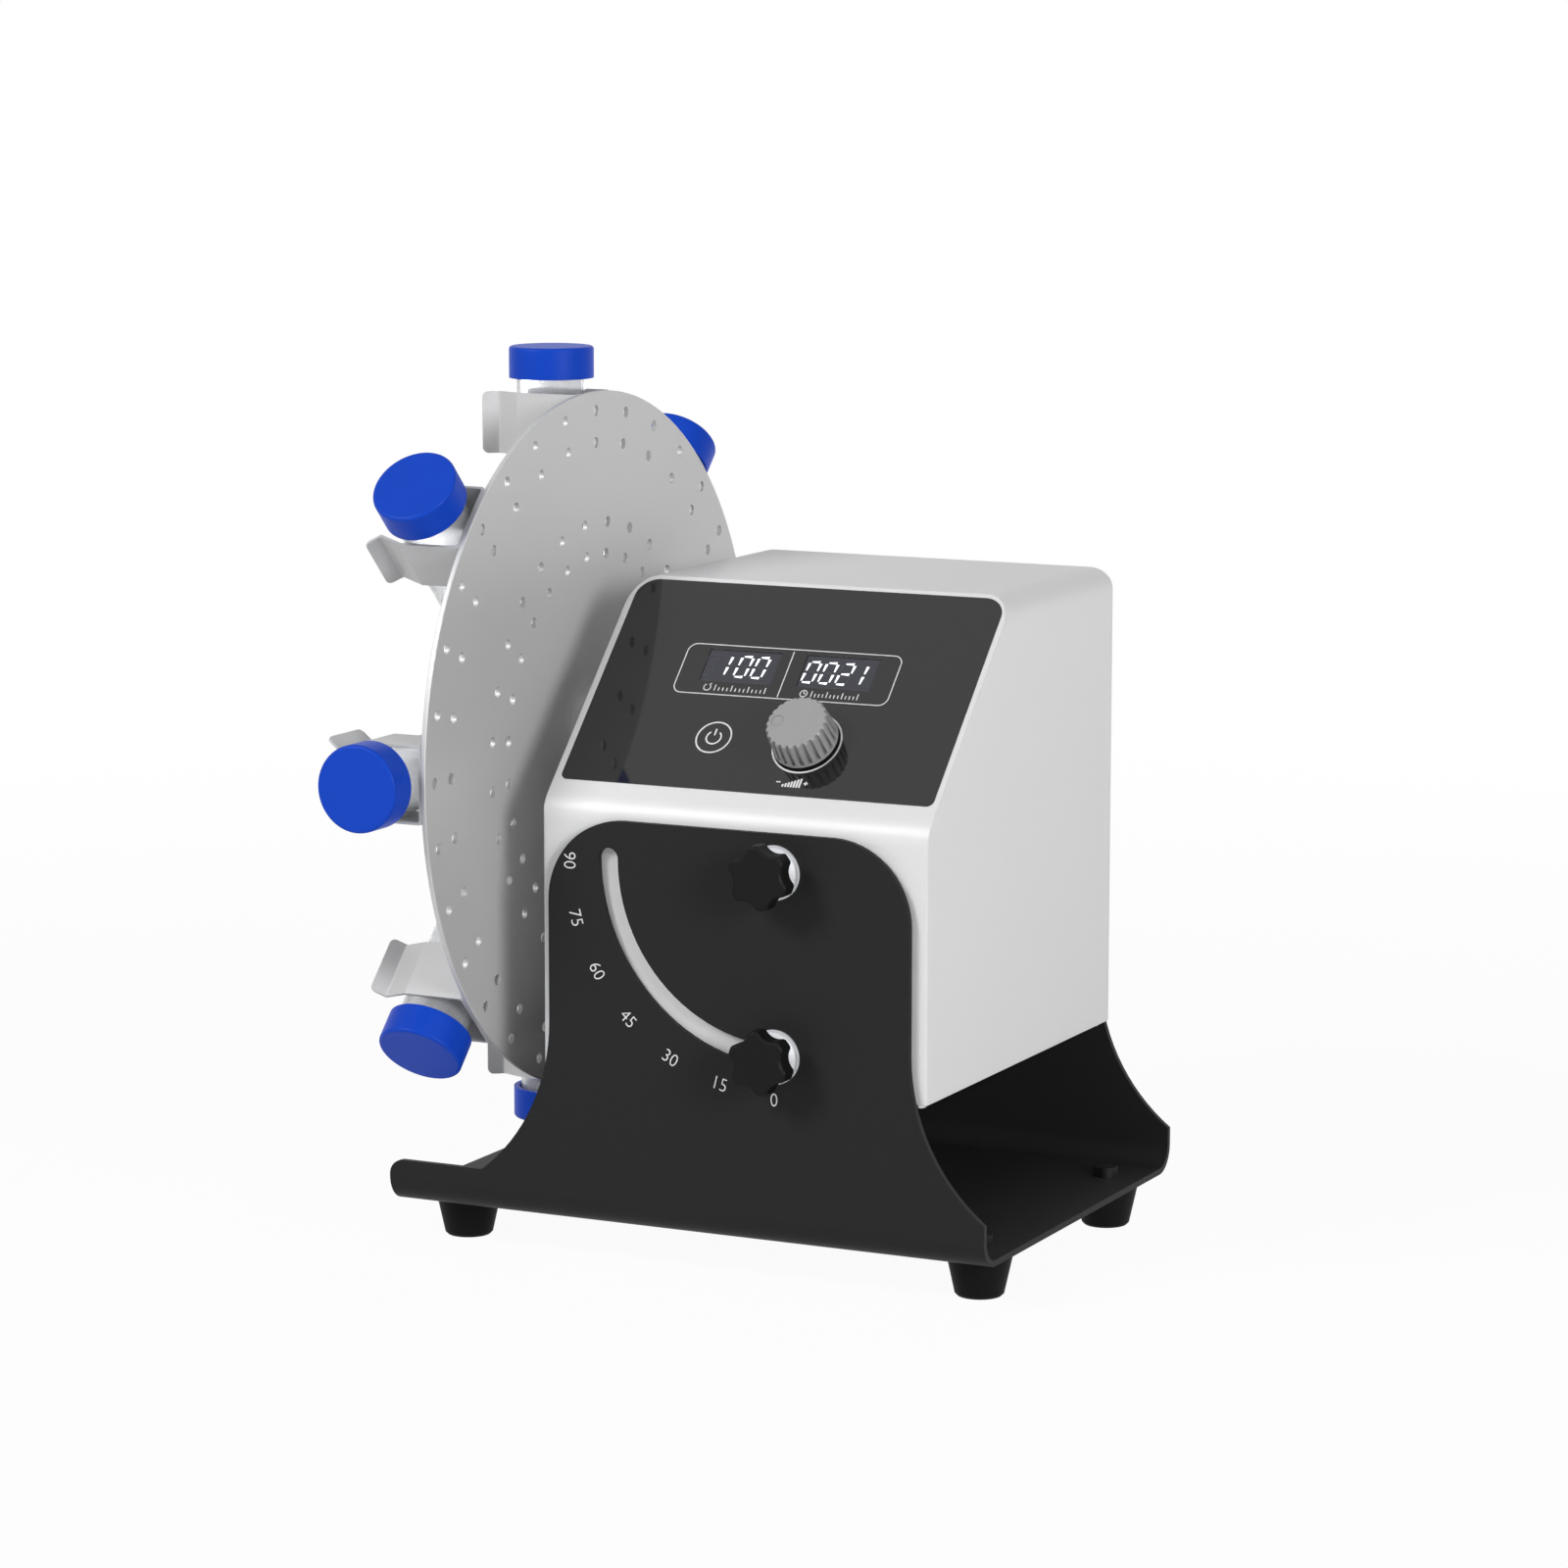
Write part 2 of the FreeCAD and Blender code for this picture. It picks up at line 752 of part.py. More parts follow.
def make_housing_shell():
    body = new_body("housing_shell", pivot_at)
    low, high, wall = -housing_low, s.housing_top, s.housing_wall
    left, right, half = -s.housing_left, s.housing_right, housing_half
    across = s.housing_left + s.housing_right
    side = new_sketch(body, "YZ", (0, 0, left))
    draw_outline(
        side,
        [(-half, low), (half, low), (half, high), (s.slope_run - half, high), (-half, s.slope_start)],
    )
    pad(body, side, across)
    fillet(
        body,
        s.roof_round,
        lambda edge: runs_along(edge, "y") and near(middle(edge).z, high),
    )
    fillet(
        body,
        s.slope_bend,
        lambda edge: runs_along(edge, "x")
        and near(middle(edge).z, s.slope_start)
        and near(middle(edge).y, -half),
    )
    corners = new_sketch(body, "XY", (0, 0, high + wall))
    for x, x_hand in ((left, 1), (right, -1)):
        spandrel(corners, x, -half, s.front_round, x_hand, 1)
        spandrel(corners, x, half, s.rear_round, x_hand, -1)
    pocket(body, corners, high - low + 2 * wall)

    hollow = body.newObject("PartDesign::Boolean", "housing_hollow")
    hollow.Type = "Cut"
    hollow.Group = [make_housing_core()]
    body.Tip = hollow

    # corner posts for the cover's screws
    posts = new_sketch(body, "XY", (0, 0, low + s.cover_gauge))
    drillings = new_sketch(body, "XY", (0, 0, low + s.cover_gauge))
    for place in post_places:
        draw_circle(posts, place, s.post_radius)
        draw_circle(drillings, place, s.small_screw_radius)
    pad(body, posts, s.post_height)
    pocket(body, drillings, s.small_screw_length, reverse=True)

    # the drive's place in the left wall
    drive = new_sketch(body, "YZ", (0, 0, left + 2 * wall))
    draw_circle(drive, (0, s.rotor_rise), s.spigot_radius)
    for y_hand in (-1, 1):
        for z_hand in (-1, 1):
            reach = s.flange_screw_circle / math.sqrt(2)
            place = (reach * y_hand, s.rotor_rise + reach * z_hand)
            draw_circle(drive, place, s.flange_screw_radius + s.screw_play)
    pocket(body, drive, 3 * wall)

    # the threaded inserts' holes in the front wall and the rear wall
    front = new_sketch(body, "XZ", (0, 0, half + wall))
    for place in knob_places:
        draw_circle(front, place, s.insert_radius)
    pocket(body, front, 3 * wall)
    rear = new_sketch(body, "XZ", (0, 0, -half - wall))
    draw_circle(rear, (0, 0), s.insert_radius)
    draw_circle(rear, (-s.inlet_left, s.inlet_up), s.inlet_radius)
    draw_box(
        rear,
        (-s.switch_left - s.switch_half_width, s.switch_up - s.switch_half_height),
        (s.switch_half_width - s.switch_left, s.switch_up + s.switch_half_height),
    )
    pocket(body, rear, 3 * wall, reverse=True)

    # the panel's recess, and the openings in its floor
    recess = new_sketch(body, "XY", slope_in_pivot, slope_turn)
    draw_panel_edge(recess, as_size(0))
    pocket(body, recess, s.panel_gauge)
    openings = new_sketch(body, "XY", slope_in_pivot, slope_turn)
    for x in window_places:
        reach_x = s.display_width / 2 + s.window_play
        reach_y = s.display_height / 2 + s.window_play
        draw_box(
            openings,
            (x - reach_x, s.window_middle - reach_y),
            (x + reach_x, s.window_middle + reach_y),
        )
    draw_circle(openings, (-s.knob_at, s.knob_up), s.bush_radius + s.screw_play)
    pocket(body, openings, wall + s.panel_gauge)

    # posts behind the slope for the control board
    stems = new_sketch(body, "XY", raised(-board_front), slope_turn)
    drilled = new_sketch(body, "XY", raised(-board_front), slope_turn)
    for place in board_places:
        draw_circle(stems, place, s.board_post_radius)
        draw_circle(drilled, place, s.small_screw_radius)
    pad(body, stems, board_front - (wall + s.panel_gauge) / 2)
    pocket(body, drilled, s.small_screw_length - s.board_gauge, reverse=True)
    return body


def raised(height):
    """The slope's corner in the pivot's frame, lifted square to the slope."""
    return (
        0,
        -housing_half - height * slope_rise / slope_length,
        s.slope_start + height * s.slope_run / slope_length,
    )


def on_slope(height, x=0, up=0):
    """A place on the slope in the part's frame, lifted square to the slope."""
    rise, run = slope_rise / slope_length, s.slope_run / slope_length
    return (
        s.pivot_offset + x,
        up * run - housing_half - height * rise,
        pivot_height + s.slope_start + up * rise + height * run,
    )


def draw_panel_edge(sketch, play):
    """The control panel's edge on the slope, or its recess when there is no play."""
    draw_rounded(
        sketch,
        (play - panel_left, s.panel_low + play),
        (panel_right - play, panel_high - play),
        s.panel_low_corner - play,
        s.panel_top_corner - play,
    )


def make_bottom_cover():
    body = new_body("bottom_cover", pivot_at)
    play = s.housing_wall + s.cover_play
    half = housing_half - play
    plate = new_sketch(body, "XY", (0, 0, -housing_low))
    draw_box(plate, (play - s.housing_left, -half), (s.housing_right - play, half))
    pad(body, plate, s.cover_gauge)
    holes = new_sketch(body, "XY", (0, 0, s.cover_gauge * 2 - housing_low))
    for place in post_places:
        draw_circle(holes, place, s.small_screw_radius + s.screw_play)
    pocket(body, holes, s.cover_gauge * 3)
    return body


def make_small_screws():
    """The same screw holds the bottom cover and the control board."""
    body = new_body("housing_screws", pivot_at)
    low = -housing_low
    back = -board_front - s.board_gauge
    for at, turn, places in (
        ((0, 0, low), None, post_places),
        (raised(back), slope_turn, board_places),
    ):
        heads = new_sketch(body, "XY", at, turn)
        shanks = new_sketch(body, "XY", at, turn)
        for place in places:
            draw_circle(heads, place, s.small_head_radius)
            draw_circle(shanks, place, s.small_screw_radius)
        pad(body, heads, s.small_head_height, reverse=True)
        pad(body, shanks, s.small_screw_length)
    return body


def make_control_panel():
    body = new_body("control_panel", on_slope(-s.panel_gauge), slope_turn)
    plate = new_sketch(body, "XY")
    draw_panel_edge(plate, s.panel_play)
    pad(body, plate, s.panel_gauge)
    cuts = new_sketch(body, "XY", (0, 0, s.panel_gauge * 2))
    for x in window_places:
        half_x, half_y = s.window_width / 2, s.window_height / 2
        draw_box(cuts, (x - half_x, s.window_middle - half_y), (x + half_x, s.window_middle + half_y))
    draw_circle(cuts, (-s.knob_at, s.knob_up), s.bush_radius + s.screw_play)
    pocket(body, cuts, s.panel_gauge * 3)
    return body


def make_displays():
    body = new_body("display_modules", on_slope(-s.panel_gauge), slope_turn)
    cases = new_sketch(body, "XY")
    faces = new_sketch(body, "XY")
    for x in window_places:
        half_x, half_y = s.display_width / 2, s.display_height / 2
        draw_box(cases, (x - half_x, s.window_middle - half_y), (x + half_x, s.window_middle + half_y))
        half_x, half_y = s.window_width / 2 - s.window_play, s.window_height / 2 - s.window_play
        draw_box(faces, (x - half_x, s.window_middle - half_y), (x + half_x, s.window_middle + half_y))
    pad(body, cases, s.display_depth, reverse=True)
    pad(body, faces, s.panel_gauge - s.window_sink)
    return body


def make_control_board():
    body = new_body("control_board", on_slope(-board_front), slope_turn)
    plate = new_sketch(body, "XY")
    draw_box(plate, (-s.board_left, s.board_low), (s.board_right, s.board_high))
    for place in board_places:
        draw_circle(plate, place, s.small_screw_radius + s.screw_play)
    pad(body, plate, s.board_gauge, reverse=True)
    return body


def make_encoder():
    """The encoder's case, threaded bush and nut stand still; its shaft turns."""
    case = new_body("encoder_body", on_slope(0, -s.knob_at, s.knob_up), slope_turn)
    half = s.encoder_side / 2
    block = new_sketch(case, "XY", (0, 0, -board_front))
    draw_box(block, (-half, -half), (half, half))
    pad(case, block, board_front - s.housing_wall)
    bush = new_sketch(case, "XY", (0, 0, -s.housing_wall))
    draw_circle(bush, (0, 0), s.bush_radius)
    pad(case, bush, s.housing_wall + s.bush_height)
    nut = new_sketch(case, "XY")
    corners = []
    for corner in range(6):
        turn = as_size(60 * corner)
        corners.append((s.bush_nut_radius * cosine(turn).value, s.bush_nut_radius * sine(turn).value))
    draw_outline(nut, corners)
    pad(case, nut, s.bush_nut_height)
    bore = new_sketch(case, "XY", (0, 0, s.bush_height))
    draw_circle(bore, (0, 0), s.shaft_radius + s.shaft_play)
    pocket(case, bore, s.bush_height + board_front - s.encoder_floor)

    shaft = new_body("encoder_shaft", on_slope(0, -s.knob_at, s.knob_up), slope_turn)
    foot = s.encoder_floor + s.shaft_play - board_front
    round_bar = new_sketch(shaft, "XY", (0, 0, foot))
    draw_circle(round_bar, (0, 0), s.shaft_radius)
    pad(shaft, round_bar, s.shaft_in_knob - foot)
    return case, shaft


def make_speed_knob():
    """Fluted and slightly tapered, hollow below for the encoder's nut."""
    body = new_body("speed_knob", on_slope(0, -s.knob_at, s.knob_up), slope_turn)
    base = s.knob_lift
    top = base + s.knob_height
    hollow = base + s.knob_hollow_depth
    profile = new_sketch(body, "XZ")
    draw_outline(
        profile,
        [
            (0, s.shaft_in_knob),
            (s.shaft_radius, s.shaft_in_knob),
            (s.shaft_radius, hollow),
            (s.knob_hollow_radius, hollow),
            (s.knob_hollow_radius, base),
            (s.knob_base_radius, base),
            (s.knob_base_radius, base + s.knob_rim),
            (s.knob_face_radius, top - s.knob_bevel),
            (s.knob_face_radius - s.knob_bevel, top),
            (0, top),
        ],
    )
    revolve(body, profile, "V_Axis")
    flute = new_sketch(body, "XY", (0, 0, top + s.knob_bevel))
    inner = s.knob_face_radius - s.flute_depth + s.flute_round / 2
    outer = s.knob_base_radius + s.knob_rim
    side = s.flute_width / 2
    draw_outline(
        flute,
        [(inner, -side), (outer, -side), (outer, side), (inner, side)],
        {3: (s.flute_round, "left")},
    )
    cut = pocket(body, flute, s.knob_height - s.knob_rim + s.knob_bevel)
    repeat(body, [cut], "Z", s.flute_count)
    dimple = new_sketch(body, "XY", (0, 0, top))
    draw_circle(dimple, (-s.dimple_at, 0), s.dimple_radius)
    pocket(body, dimple, s.dimple_depth)
    return body


def make_collars():
    """Flanged washers under the two star knobs, coned towards the knob."""
    body = new_body("knob_collars", pivot_at)
    flanges = new_sketch(body, "XZ", (0, 0, half_depth))
    cones = new_sketch(body, "XZ", (0, 0, half_depth + s.collar_flange))
    bores = new_sketch(body, "XZ", (0, 0, half_depth + s.collar_height))
    for place in knob_places:
        draw_circle(flanges, place, s.collar_radius)
        draw_circle(cones, place, s.collar_cone_radius)
        draw_circle(bores, place, s.stud_radius + s.pivot_clearance)
    pad(body, flanges, s.collar_flange)
    pad(body, cones, s.collar_height - s.collar_flange, taper=-s.collar_taper)
    pocket(body, bores, s.collar_height)
    return body


def make_star_knob(label, z):
    """A star knob with rounded lobes, for the pivot or for the slot."""
    body = new_body(label, (s.pivot_offset, -half_depth, pivot_height + z), star_turn)
    start = s.collar_height
    waist = start + s.star_hub_height
    front = waist + s.star_height
    hub = new_sketch(body, "XZ", (0, 0, start))
    draw_circle(hub, (0, 0), s.star_hub_radius)
    pad(body, hub, s.star_hub_height)
    head = new_sketch(body, "XZ", (0, 0, waist))
    draw_circle(head, (0, 0), s.star_radius)
    pad(body, head, s.star_height)
    scallop = new_sketch(body, "XZ", (0, 0, front))
    draw_circle(scallop, (0, s.star_radius - s.scallop_depth + s.scallop_radius), s.scallop_radius)
    cut = pocket(body, scallop, s.star_height)
    repeat(body, [cut], "Y", s.star_lobes)
    fillet(body, s.star_bevel * 2, lambda edge: runs_along(edge, "y") and middle(edge).y < -waist.value)
    chamfer(body, s.star_bevel, lambda edge: near(middle(edge).y, -front))
    bore = new_sketch(body, "XZ", (0, 0, start))
    draw_circle(bore, (0, 0), s.stud_radius)
    pocket(body, bore, s.stud_in_knob, reverse=True)
    return body


def make_stud(label, z):
    """The threaded stud moulded into a star knob, screwed into the housing."""
    body = new_body(label, (s.pivot_offset, -half_depth, pivot_height + z))
    tip = s.collar_height + s.stud_in_knob
    rod = new_sketch(body, "XZ", (0, 0, tip))
    draw_circle(rod, (0, 0), s.stud_radius)
    reach = s.sheet_gauge + s.housing_gap + s.housing_wall + s.insert_flange + s.stud_end
    pad(body, rod, tip + reach, reverse=True)
    return body


def make_inserts():
    """Flanged nuts in the housing's walls: pivot, lock and rear pivot."""
    body = new_body("thread_inserts", pivot_at)
    inside = housing_half - s.housing_wall
    for places, hand in ((knob_places, 1), (((0, 0),), -1)):
        flange = new_sketch(body, "XZ", (0, 0, inside * hand))
        barrel = new_sketch(body, "XZ", (0, 0, inside * hand))
        bore = new_sketch(body, "XZ", (0, 0, (housing_half + s.stud_end) * hand))
        for place in places:
            draw_circle(flange, place, s.insert_flange_radius)
            draw_circle(barrel, place, s.insert_radius)
            draw_circle(bore, place, s.stud_radius + s.shaft_play)
        pad(body, flange, s.insert_flange, reverse=hand > 0)
        pad(body, barrel, s.housing_wall, reverse=hand < 0)
        pocket(body, bore, s.housing_wall + s.insert_flange + 2 * s.stud_end, reverse=hand < 0)
    return body


def make_rear_bolt():
    """The shoulder bolt that the housing swings on at the rear upright."""
    body = new_body("rear_pivot_bolt", (s.pivot_offset, half_depth, pivot_height))
    flange = new_sketch(body, "XZ")
    draw_circle(flange, (0, 0), s.bolt_flange_radius)
    pad(body, flange, s.bolt_flange, reverse=True)
    head = new_sketch(body, "XZ", (0, 0, -s.bolt_flange))
    corners = []
    for corner in range(6):
        turn = as_size(60 * corner + 30)
        corners.append((s.bolt_head_radius * cosine(turn).value, s.bolt_head_radius * sine(turn).value))
    draw_outline(head, corners)
    pad(body, head, s.bolt_head, reverse=True)
    shank = new_sketch(body, "XZ")
    draw_circle(shank, (0, 0), s.stud_radius)
    pad(body, shank, s.sheet_gauge + s.housing_gap + s.housing_wall + s.insert_flange + s.stud_end)
    return body


def turned_about_x(label, at, profile_points):
    body = new_body(label, at)
    profile = new_sketch(body, "XZ")
    draw_outline(profile, profile_points)
    revolve(body, profile, "H_Axis")
    return body


def ring_of_circles(sketch, circle, count, radius, half_step=True):
    """Circles round the sketch's origin, the first one half a step off the top."""
    for number in range(int(count.value)):
        turn = 360 * (as_size(number) + (0.5 if half_step else 0)) / count
        draw_circle(sketch, (circle * sine(turn), circle * cosine(turn)), radius)


def make_bearing_block():
    """Flanged block: its spigot centres it in the wall, two bearings sit in it."""
    wall, end = s.housing_wall, block_end
    inset = s.bearing_inset
    body = turned_about_x(
        "bearing_block",
        wall_at,
        [
            (0, s.bearing_radius),
            (0, s.spigot_radius),
            (wall, s.spigot_radius),
            (wall, s.block_flange_radius),
            (wall + s.block_flange, s.block_flange_radius),
            (wall + s.block_flange, s.block_radius),
            (end, s.block_radius),
            (end, s.bearing_radius),
            (end - inset - s.bearing_width, s.bearing_radius),
            (end - inset - s.bearing_width, (s.bearing_radius - s.bearing_lip)),
            (inset + s.bearing_width, (s.bearing_radius - s.bearing_lip)),
            (inset + s.bearing_width, s.bearing_radius),
        ],
    )
    through = new_sketch(body, "YZ", (0, 0, end + wall))
    ring_of_circles(through, s.flange_screw_circle, s.drive_screw_count, s.flange_screw_radius)
    hole, recess = (radius + s.screw_play for radius in (s.small_screw_radius, s.motor_head_radius))
    ring_of_circles(through, s.motor_screw_circle, s.drive_screw_count, hole, False)
    pocket(body, through, end + 2 * wall)
    sunk = new_sketch(body, "YZ", (0, 0, wall))
    ring_of_circles(sunk, s.motor_screw_circle, s.drive_screw_count, recess, False)
    pocket(body, sunk, s.motor_head_height, reverse=True)
    pocket_spigot = new_sketch(body, "YZ", (0, 0, wall))
    ring_of_circles(pocket_spigot, s.motor_screw_circle, s.drive_screw_count, recess, False)
    pocket(body, pocket_spigot, wall * 2)
    return body


def make_bearings():
    body = new_body("spindle_bearings", wall_at)
    inset, width, bevel = s.bearing_inset, s.bearing_width, s.bearing_chamfer
    inner = s.spindle_radius + s.shaft_play
    for start in (inset, block_end - inset - width):
        profile = new_sketch(body, "XZ")
        draw_outline(
            profile,
            [
                (start, inner),
                (start, s.bearing_radius - bevel),
                (start + bevel, s.bearing_radius),
                (start + width - bevel, s.bearing_radius),
                (start + width, s.bearing_radius - bevel),
                (start + width, inner),
            ],
        )
        revolve(body, profile, "H_Axis")
    return body


def make_drive_screws():
    """Four screws hold the block to the wall, four more the gearbox to the block."""
    body = new_body("drive_screws", wall_at)
    seat = s.housing_wall + s.motor_head_height
    for start, circle, half_step, head_radius, head_height, radius, end in (
        (
            as_size(0),
            s.flange_screw_circle,
            True,
            s.flange_head_radius,
            s.flange_head_height,
            s.flange_screw_radius,
            s.housing_wall + s.block_flange,
        ),
        (
            seat,
            s.motor_screw_circle,
            False,
            s.motor_head_radius,
            s.motor_head_height,
            s.small_screw_radius,
            block_end + s.motor_screw_bite,
        ),
    ):
        heads = new_sketch(body, "YZ", (0, 0, start))
        shanks = new_sketch(body, "YZ", (0, 0, start))
        ring_of_circles(heads, circle, s.drive_screw_count, head_radius, half_step)
        ring_of_circles(shanks, circle, s.drive_screw_count, radius, half_step)
        pad(body, heads, head_height, reverse=True)
        pad(body, shanks, end - start)
    return body


def make_gear_motor():
    start = block_end
    box_end = start + s.gearbox_length
    motor_end = box_end + s.motor_length
    bore = s.motor_shaft_radius + s.shaft_play
    body = turned_about_x(
        "gear_motor",
        wall_at,
        [
            (start, bore),
            (start, s.gearbox_radius),
            (box_end, s.gearbox_radius),
            (box_end, s.motor_radius),
            (motor_end, s.motor_radius),
            (motor_end, s.motor_boss_radius),
            (motor_end + s.motor_boss, s.motor_boss_radius),
            (motor_end + s.motor_boss, 0),
            (start + s.motor_shaft_in, 0),
            (start + s.motor_shaft_in, bore),
        ],
    )
    holes = new_sketch(body, "YZ", (0, 0, start))
    ring_of_circles(holes, s.motor_screw_circle, s.drive_screw_count, s.small_screw_radius, False)
    pocket(body, holes, s.motor_screw_bite, reverse=True)
    return body


def make_spindle():
    """Runs from the disc through both bearings and takes the motor's shaft."""
    start = -s.rotor_gap - s.disc_gauge
    end = block_end - s.bearing_inset
    collar_end = s.bearing_inset - s.collar_play
    body = turned_about_x(
        "spindle",
        wall_at,
        [
            (start, 0),
            (start, s.spindle_radius),
            (collar_end - s.spindle_collar, s.spindle_radius),
            (collar_end - s.spindle_collar, s.spindle_collar_radius),
            (collar_end, s.spindle_collar_radius),
            (collar_end, s.spindle_radius),
            (end, s.spindle_radius),
            (end, s.motor_shaft_radius),
            (block_end - s.motor_shaft_out, s.motor_shaft_radius),
            (block_end - s.motor_shaft_out, 0),
        ],
    )
    return body


def make_motor_shaft():
    body = new_body("motor_shaft", wall_at)
    bar = new_sketch(body, "YZ", (0, 0, block_end - s.motor_shaft_out))
    draw_circle(bar, (0, 0), s.motor_shaft_radius)
    pad(body, bar, s.motor_shaft_out + s.motor_shaft_in - s.collar_play)
    return body


def make_hub():
    """Flange on the disc's inner face, running down to a boss on the spindle."""
    start = -s.rotor_gap
    end = s.bearing_inset - s.collar_play - s.spindle_collar
    body = turned_about_x(
        "rotor_hub",
        wall_at,
        [
            (start, s.spindle_radius),
            (start, s.hub_flange_radius),
            (start + s.hub_flange, s.hub_flange_radius),
            (start + s.hub_flange, s.hub_radius),
            (end, s.hub_radius),
            (end, s.spindle_radius),
        ],
    )
    fillet(
        body,
        s.hub_fillet,
        lambda edge: near(edge.BoundBox.XMin, start + s.hub_flange)
        and near(edge.BoundBox.ZMax, s.hub_radius),
    )
    holes = new_sketch(body, "YZ", (0, 0, start))
    ring_of_circles(holes, s.hub_screw_circle, s.drive_screw_count, s.hub_screw_radius)
    pocket(body, holes, s.hub_flange, reverse=True)
    return body


def make_disc():
    body = new_body("rotor_disc", disc_at)
    blank = new_sketch(body, "YZ")
    draw_circle(blank, (0, 0), s.disc_radius)
    draw_circle(blank, (0, 0), s.spindle_radius)
    ring_of_circles(blank, s.hub_screw_circle, s.drive_screw_count, s.hub_screw_radius + s.screw_play)
    pad(body, blank, s.disc_gauge)
    chamfer(
        body,
        s.disc_edge,
        lambda edge: edge.Curve.TypeId == "Part::GeomCircle" and near(edge.Curve.Radius, s.disc_radius),
    )
    outer_count = s.tube_count * s.holes_per_tube
    for circle, count, half_step in (
        (outer_ring, outer_count, False),
        (second_ring, outer_count, False),
        (s.third_ring, s.inner_count, True),
        (inner_ring, s.inner_count, True),
    ):
        hole = new_sketch(body, "YZ", (0, 0, s.disc_gauge * 2))
        turn = (180 if half_step else 0) / count
        draw_circle(hole, (circle * sine(turn), circle * cosine(turn)), s.disc_hole_radius)
        cut = pocket(body, hole, s.disc_gauge * 3)
        repeat(body, [cut], "X", count)
    return body


def make_hub_screws():
    body = new_body("hub_screws", disc_at)
    heads = new_sketch(body, "YZ")
    shanks = new_sketch(body, "YZ")
    ring_of_circles(heads, s.hub_screw_circle, s.drive_screw_count, s.hub_head_radius)
    ring_of_circles(shanks, s.hub_screw_circle, s.drive_screw_count, s.hub_screw_radius)
    pad(body, heads, s.hub_head_height, reverse=True)
    pad(body, shanks, s.hub_screw_length)
    return body


def thicken(points, gauge):
    """The closed outline of a strip of that gauge along a line of points."""

    def normal(start, end):
        across, along = end[0] - start[0], end[1] - start[1]
        length = root(across * across + along * along)
        return -along / length, across / length

    sides = [normal(*pair) for pair in zip(points, points[1:])]
    edges = []
    for hand in (0.5, -0.5):
        edge = []
        for number, (x, y) in enumerate(points):
            before, after = sides[max(number - 1, 0)], sides[min(number, len(sides) - 1)]
            share = gauge * hand / (1 + before[0] * after[0] + before[1] * after[1])
            edge.append((x + share * (before[0] + after[0]), y + share * (before[1] + after[1])))
        edges.append(edge)
    return edges[0] + edges[1][::-1]


def make_clip(label, turn):
    """A bent spring-steel clip: flat back, two arms, waisted mouth and flared lips."""
    body = new_body(label, disc_at, (Vector(1, 0, 0), turn))
    half = s.tube_radius + s.clip_play + s.clip_gauge / 2
    neck_half = half - s.clip_waist
    bend_at = tube_offset + s.clip_hold
    neck_at = bend_at + s.clip_slope
    lip_at = neck_at + s.clip_lip
    lower = [
        (-lip_at, -neck_half - s.clip_flare),
        (-neck_at, -neck_half),
        (-bend_at, -half),
        (-s.clip_gauge / 2, -half),
    ]
    middle_line = lower + [(x, -y) for x, y in lower[::-1]]
    strip = new_sketch(body, "XY", (0, 0, clip_end - s.clip_length))
    draw_outline(strip, thicken(middle_line, s.clip_gauge))
    pad(body, strip, s.clip_length)
    lip_edge = s.clip_gauge.value - lip_at.value
    fillet(body, s.clip_bend, lambda edge: runs_along(edge, "z") and middle(edge).x > lip_edge)
    fillet(
        body,
        s.clip_corner,
        lambda edge: abs(edge.Length - s.clip_gauge.value) < 0.01
        and not runs_along(edge, "z")
        and middle(edge).x < lip_edge,
    )
    holes = new_sketch(body, "YZ", (0, 0, s.clip_gauge))
    for circle in (outer_ring, second_ring):
        draw_circle(holes, (0, circle), s.disc_hole_radius)
    pocket(body, holes, s.clip_gauge * 3)
    return body


def make_clip_screws():
    body = new_body("clip_screws", disc_at)
    heads = new_sketch(body, "YZ", (0, 0, -s.clip_gauge))
    shanks = new_sketch(body, "YZ", (0, 0, -s.clip_gauge))
    for number in range(int(s.tube_count.value)):
        turn = as_size(number) * tube_step
        for circle in (outer_ring, second_ring):
            place = (circle * sine(turn), circle * cosine(turn))
            draw_circle(heads, place, s.clip_head_radius)
            draw_circle(shanks, place, s.clip_screw_radius)
    pad(body, heads, s.clip_head_height, reverse=True)
    pad(body, shanks, s.clip_gauge + s.disc_gauge - s.clip_screw_sink)
    return body


def make_tube(label, turn):
    """A conical sample tube, mouth outwards, hollow down to its tip."""
    body = new_body(label, tube_axis_at, (Vector(1, 0, 0), turn))
    mouth = tube_mouth
    tip = mouth - s.tube_length
    shoulder = tip + s.tube_cone
    inner = s.tube_radius - s.tube_wall
    profile = new_sketch(body, "XZ")
    draw_outline(
        profile,
        [
            (0, tip),
            (s.tube_tip_radius, tip),
            (s.tube_radius, shoulder),
            (s.tube_radius, mouth - s.thread_start - s.thread_length),
            (thread_radius, mouth - s.thread_start - s.thread_length),
            (thread_radius, mouth - s.thread_start),
            (s.tube_radius, mouth - s.thread_start),
            (s.tube_radius, mouth),
            (inner, mouth),
            (inner, shoulder),
            (s.tube_tip_radius - s.tube_wall / 2, tip + s.tube_wall),
            (0, tip + s.tube_wall),
        ],
    )
    revolve(body, profile, "V_Axis")
    return body


